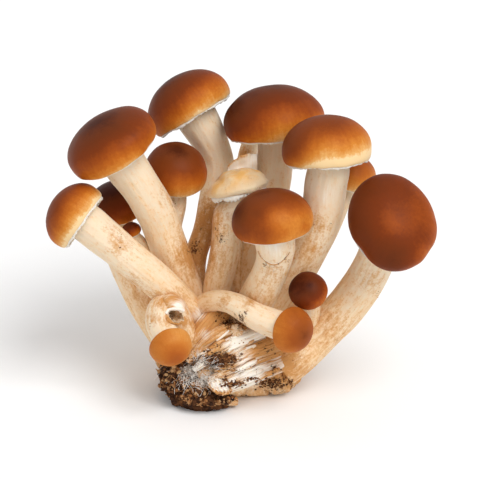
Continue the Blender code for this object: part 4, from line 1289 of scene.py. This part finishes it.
class PIOPPINO_OT_clump(bpy.types.Operator):
    """Build the root clump with its ribs and the strands laid over it"""
    bl_idname = "pioppino.clump"
    bl_label = "Root clump"

    def execute(self, context):
        look = context.scene.pioppino_clump
        shape, layers = start_flesh()
        for numbers in CLUMP_LUMPS:
            build_lump(shape, numbers, 6 if numbers[3] > 10 else 5, 0.14, layers, (0.15, 0.5, 0.22))
        finish_flesh("root_clump", shape, ["stems_and_clump"])
        for index, (name, (white, ochre, dirt, route)) in enumerate(RIBS.items()):
            points = [(*seen(*row[:3]), row[3]) for row in route]
            build_tube(name, points, 5.3 * index + 40, (white, ochre, dirt),
                       SMOOTHER_RIBS.get(name, RIB))
        self.hollow()
        self.broken_face()
        self.torn_sheet()
        self.edges()
        draw = Random(11)
        for layer in range(2):
            self.wrap(draw, f"strands_round_{layer}", look.strands // 2)
            self.lay(draw, f"strands_front_{layer}", look.strands // 2)
        return {"FINISHED"}

    def drape(self, shape, layers, rays, seed, size, tone):
        """Lay one strand over the clump where the rays meet it."""
        points = []
        for origin, way in rays:
            place, normal, met = touch(origin, way)
            if met.startswith(("root", "rib_", "strand", "broken_face")):
                wide = size * (0.35 + 0.65 * sin(pi * (len(points) + 0.5) / len(rays)))
                points.append((*(place + normal * wide * 0.1), wide))
        if len(points) > 4:
            add_tube(shape, layers, points, seed, tone, STRAND)

    def wrap(self, draw, name, count):
        """Lay strands from the foot up to the stems, round the back and the sides."""
        shape, layers = start_flesh()
        for index in range(count):
            turn = radians(WRAP_START + WRAP_ARC * (index + draw.random()) / count)
            drift = draw.uniform(-0.5, 0.5)
            top = draw.uniform(10, 22)
            rays = []
            for step in range(STRAND_STEPS + 1):
                angle = turn + drift * step / STRAND_STEPS + draw.gauss(0, 0.02)
                rays.append(level_ray(angle, 0.8 + (top - 0.8) * step / STRAND_STEPS))
            self.drape(shape, layers, rays, 3.3 * index + 90, draw.uniform(0.5, 1.3),
                       draw.choice(STRAND_TONES))
        finish_flesh(name, shape)

    def lay(self, draw, name, count):
        """Lay strands across the front, down to the left as the ribs run."""
        shape, layers = start_flesh()
        for index in range(count):
            share = (index + draw.random()) / count
            start, stop = [Vector(low).lerp(Vector(high), share) for low, high in FRONT_FIELD]
            first = draw.uniform(0.0, 0.55)
            last = first + draw.uniform(0.25, 0.5)
            bow = draw.uniform(-1.0, 1.0)
            rays = []
            for step in range(STRAND_STEPS + 1):
                part = first + (last - first) * step / STRAND_STEPS
                spot = start.lerp(stop, part) + Vector((0, bow * sin(part * pi) + draw.gauss(0, 0.12)))
                rays.append(sight(*spot))
            self.drape(shape, layers, rays, 4.1 * index + 190, draw.uniform(0.35, 0.95),
                       draw.choice(STRAND_TONES))
        finish_flesh(name, shape)

    def hollow(self):
        """Tear the hole into the arch of the left drooping mushroom."""
        spot, lean, (wide, high, deep) = HOLE
        middle, _, _ = touch_seen(*spot)
        turn = facing_viewer(lean)
        shape, layers = start_flesh()
        verts = bmesh.ops.create_icosphere(shape, subdivisions=5, radius=1)["verts"]
        for vert in verts:
            unit = vert.co.copy()
            wave = 1 + 0.30 * noise.noise(unit * 2.2) + 0.16 * noise.noise(unit * 6.0)
            place = Vector((unit.x * wide, unit.y * high, unit.z * deep)) * wave
            vert.co = middle - VIEWER * 0.5 + turn @ place
            # The hole's inner walls are painted white on the left and ochre and dark brown towards the
            # right.
            paint(vert, layers, vert.co, 1.1 * soft(-unit.x, 0.0, 0.5), 1.3 * soft(unit.x, -0.4, 0.1),
                  1.2 * soft(unit.x, -0.3, 0.2), 1.0)
        cutter = add_object("hole", shape)
        for name in ARCH:
            item = bpy.data.objects[name]
            hole = item.modifiers.new("hole", "BOOLEAN")
            hole.operation = "DIFFERENCE"
            hole.solver = "EXACT"
            hole.object = cutter
            bpy.context.view_layer.objects.active = item
            bpy.ops.object.modifier_apply(modifier=hole.name)
        bpy.data.objects.remove(cutter)

    def torn_sheet(self):
        """Model the torn pale skin that stands behind the weathered cap."""
        foot = SHEET["foot"]
        shape, layers = start_flesh()
        verts = bmesh.ops.create_grid(shape, x_segments=40, y_segments=28, size=1)["verts"]
        for vert in verts:
            u = (vert.co.x + 1) / 2
            v = (vert.co.y + 1) / 2
            wave = noise.noise(Vector((u * 3.0, v * 2.0, 5.0)))
            ragged = 0.5 * v * noise.noise(Vector((u * 8.0, 0.0, 2.0)))
            across = SHEET["left"] + SHEET["width"] * u
            top = SHEET["top"] + SHEET["rise"] * u + 1.5 * sin(pi * u) + ragged
            depth = SHEET["depth"] + 1.6 * wave - 1.2 * sin(pi * u)
            vert.co = seen(across, foot + (top - foot) * v, depth)
            edge = soft(v, 0.80, 1.0) * soft(0.9 - u, 0.0, 0.5)
            paint(vert, layers, vert.co, 0.8 - 1.2 * edge, 0.1 + 1.0 * edge, 0.9 * edge)
        bmesh.ops.recalc_face_normals(shape, faces=shape.faces)
        bmesh.ops.solidify(shape, geom=shape.faces[:], thickness=0.4)
        finish_flesh("torn_sheet", shape)

    def edges(self):
        """Lay ragged edges of torn skin: round the hole and below the torn sleeve."""
        for name, hosts, size, tone, spots in EDGES:
            shape, layers = start_flesh()
            points = []
            for index, spot in enumerate(spots):
                place, normal, met = touch_seen(*spot)
                if met in hosts:
                    wide = size * (1 + 0.5 * noise.noise(Vector((index * 1.7, size, 3.0))))
                    points.append((*(place + normal * 0.1 * wide), wide))
            if len(points) > 3:
                add_tube(shape, layers, points, size * 31, tone, RAGGED_EDGE)
            finish_flesh(name, shape)

    def broken_face(self):
        """Model the broken white end of the lowest rib, with its ragged tan rim."""
        spot, lean, (wide, high, deep) = BROKEN_END
        middle, _, _ = touch_seen(*spot)
        turn = facing_viewer(lean)
        shape, layers = start_flesh()
        verts = bmesh.ops.create_icosphere(shape, subdivisions=5, radius=1)["verts"]
        for vert in verts:
            unit = vert.co.copy()
            reach = unit.to_2d().length
            ragged = 1 + 0.14 * noise.noise(unit * 3.1) + 0.08 * noise.noise(unit * 9.0)
            lift = 0.9 * soft(reach, 0.72, 0.90) - 0.9 * soft(reach, 0.90, 1.0) if unit.z > 0 else 0
            dip = 0.8 * noise.noise(unit * 4.0) + 0.4 * noise.noise(unit * 11.0)
            place = Vector((unit.x * wide * ragged, unit.y * high * ragged,
                            unit.z * deep + lift + dip))
            vert.co = middle + turn @ place
            paint(vert, layers, place * 1.3, 1.0 - 1.6 * soft(reach, 0.58, 0.86) + dip,
                  1.0 * soft(reach, 0.58, 0.88) - 1.2 * dip,
                  0.9 * soft(reach, 0.7, 1.0) * soft(unit.x - unit.y, 0.0, 0.8))
        finish_flesh("broken_face", shape)


class PIOPPINO_OT_soil(bpy.types.Operator):
    """Build the clod of growing soil, the crumbs stuck to the cluster and the white threads"""
    bl_idname = "pioppino.soil"
    bl_label = "Soil"

    def execute(self, context):
        look = context.scene.pioppino_clump
        draw = Random(23)
        shape, layers = start_soil()
        for numbers in SOIL_LUMPS:
            build_lump(shape, numbers, 6, 0.3)
        for vert in shape.verts:
            vert[layers["tint"]] = 0.18 + 0.45 * noise.noise(vert.co * 0.6)
            vert[layers["film"]] = film_at(vert.co)
        bmesh.ops.recalc_face_normals(shape, faces=shape.faces)
        finish_soil("soil_clod_body", shape, ["soil_clod"])
        self.cover(draw, look.crumbs)
        self.pockets(draw, look.patches)
        self.straws(draw, look.straws)
        self.threads(draw, look.threads)
        return {"FINISHED"}

    def spot(self, draw):
        """Return a random place on the clod's outside, and its facing."""
        for _ in range(60):
            lump = draw.choice(SOIL_LUMPS)
            way = Vector((draw.gauss(0, 1), draw.gauss(0, 1), draw.gauss(0, 0.8))).normalized()
            place, normal, met = touch(Vector(lump[:3]) + way * 45, -way)
            if met.startswith("soil") and place.z > 0.4:
                return place, normal
        raise RuntimeError("no free place was found on the clod")

    def cover(self, draw, count):
        """Cover the clod with crumbs."""
        shape, layers = start_soil()
        for _ in range(count):
            place, normal = self.spot(draw)
            size = 0.35 + 0.95 * draw.random() ** 2.5
            tint = 1.05 * draw.random() ** 1.8
            add_crumb(shape, layers, draw, place + normal * 0.3 * size, size, tint)
        finish_soil("soil_crumbs", shape)

    def pockets(self, draw, patches):
        """Stick crumbs where the picture shows them on the stems and on the clump."""
        shape, layers = start_soil()
        for across, up, wide, high, count, size in POCKETS:
            for _ in range(count):
                spot = (across + draw.gauss(0, wide / 2), up + draw.gauss(0, high / 2))
                place, normal, met = touch_seen(*spot)
                if met.startswith(("root", "rib", "strand", "stem", "broken_face")):
                    grain = size * (0.35 + 0.75 * draw.random() ** 2)
                    add_crumb(shape, layers, draw, place + normal * 0.1 * grain, grain,
                              draw.uniform(0.1, 0.6) + (0.5 if size < 0.35 else 0.0))
        self.dust(draw, shape, layers, patches)
        finish_soil("stuck_crumbs", shape)

    def dust(self, draw, shape, layers, patches):
        """Stick patches of crumbs low on the clump's back and sides."""
        for _ in range(patches):
            middle = radians(draw.uniform(WRAP_START, 205))
            height = draw.uniform(0.8, 10.0)
            for _ in range(draw.randint(8, 30)):
                angle = middle + draw.gauss(0, 0.09)
                ray = level_ray(angle, max(0.4, height + draw.gauss(0, 1.2)))
                place, normal, met = touch(*ray)
                if met.startswith(("root", "rib", "strand")):
                    grain = 0.16 + 0.34 * draw.random() ** 2
                    add_crumb(shape, layers, draw, place + normal * 0.1 * grain, grain,
                              draw.uniform(0.1, 0.7))

    def straws(self, draw, count):
        """Add short tan fibres of straw among the crumbs."""
        shape, layers = start_soil()
        for _ in range(count):
            place, normal = self.spot(draw)
            way = Vector((draw.gauss(0, 1), draw.gauss(0, 1), draw.gauss(0, 0.5)))
            way = (way - 0.8 * way.dot(normal) * normal).normalized()
            reach = draw.uniform(0.6, 1.6)
            size = draw.uniform(0.12, 0.28)
            middle = place + normal * 0.3
            route = [(middle + way * reach * share + normal * (0.2 - 0.2 * share ** 2), size)
                     for share in (-1, -0.5, 0, 0.5, 1)]
            for vert in add_thread(shape, route):
                vert.co.z = max(vert.co.z, LOWEST)
                vert[layers["tint"]] = draw.uniform(0.5, 0.95)
        bmesh.ops.recalc_face_normals(shape, faces=shape.faces)
        finish_soil("soil_straws", shape)

    def threads(self, draw, count):
        """Lay thin white threads in patches over the soil and the clump beside it."""
        shape = bmesh.new()
        every = sum(patch[4] for patch in THREAD_PATCHES)
        for across, up, wide, high, number, lean in THREAD_PATCHES:
            for _ in range(int(count * number / every)):
                spot = Vector((across + draw.gauss(0, wide / 2), up + draw.gauss(0, high / 2)))
                angle = radians(lean + draw.gauss(0, 30))
                size = draw.uniform(0.03, 0.06)
                lift = 0.05 + 0.3 * draw.random() ** 2
                route = []
                for _ in range(draw.randint(5, 11)):
                    angle += draw.gauss(0, 0.22)
                    spot += 0.42 * Vector((cos(angle), sin(angle)))
                    place, normal, met = touch_seen(*spot)
                    if met.startswith(("cap", "table")) or place is None:
                        break
                    route.append((place + VIEWER * lift, size))
                if len(route) > 3:
                    add_thread(shape, route)
        for _ in range(count // 16):
            place, normal = self.spot(draw)
            way = Vector((draw.gauss(0, 1), draw.gauss(0, 1), draw.gauss(0, 1)))
            way = (way - way.dot(normal) * normal).normalized()
            route = [(place + way * 0.5 * step + normal * (0.25 + 0.12 * sin(step)), 0.06)
                     for step in range(draw.randint(3, 7))]
            if min(row[0].z for row in route) > 0.2:
                add_thread(shape, route)
        bmesh.ops.recalc_face_normals(shape, faces=shape.faces)
        add_piece("mycelium_threads", shape, [bpy.data.materials["mycelium"]])


class PIOPPINO_PT_panel(bpy.types.Panel):
    """Lists the pieces of the cluster and their settings"""
    bl_label = "Pioppino cluster"
    bl_idname = "PIOPPINO_PT_panel"
    bl_space_type = "VIEW_3D"
    bl_region_type = "UI"
    bl_category = "Pioppino"

    def draw(self, context):
        for operator in OPERATORS:
            self.layout.operator(operator.bl_idname)
        for group, settings in SETTINGS.items():
            box = self.layout.box()
            for key in settings.__annotations__:
                box.prop(getattr(context.scene, group), key)


SETTINGS = {
    "pioppino_caps": PioppinoCaps,
    "pioppino_stems": PioppinoStems,
    "pioppino_clump": PioppinoClump,
    "pioppino_stage": PioppinoStage,
}
OPERATORS = (PIOPPINO_OT_stage, PIOPPINO_OT_materials, PIOPPINO_OT_caps, PIOPPINO_OT_stems,
             PIOPPINO_OT_clump, PIOPPINO_OT_soil)
CLASSES = (*SETTINGS.values(), *OPERATORS, PIOPPINO_PT_panel)


def register():
    for item in CLASSES:
        bpy.utils.register_class(item)
    for name, settings in SETTINGS.items():
        setattr(bpy.types.Scene, name, PointerProperty(type=settings))


def unregister():
    for name in SETTINGS:
        delattr(bpy.types.Scene, name)
    for item in reversed(CLASSES):
        bpy.utils.unregister_class(item)


def main():
    register()
    bpy.ops.pioppino.stage()
    bpy.ops.pioppino.materials()
    bpy.ops.pioppino.caps()
    bpy.ops.pioppino.stems()
    bpy.ops.pioppino.clump()
    bpy.ops.pioppino.soil()


if __name__ == "__main__":
    main()
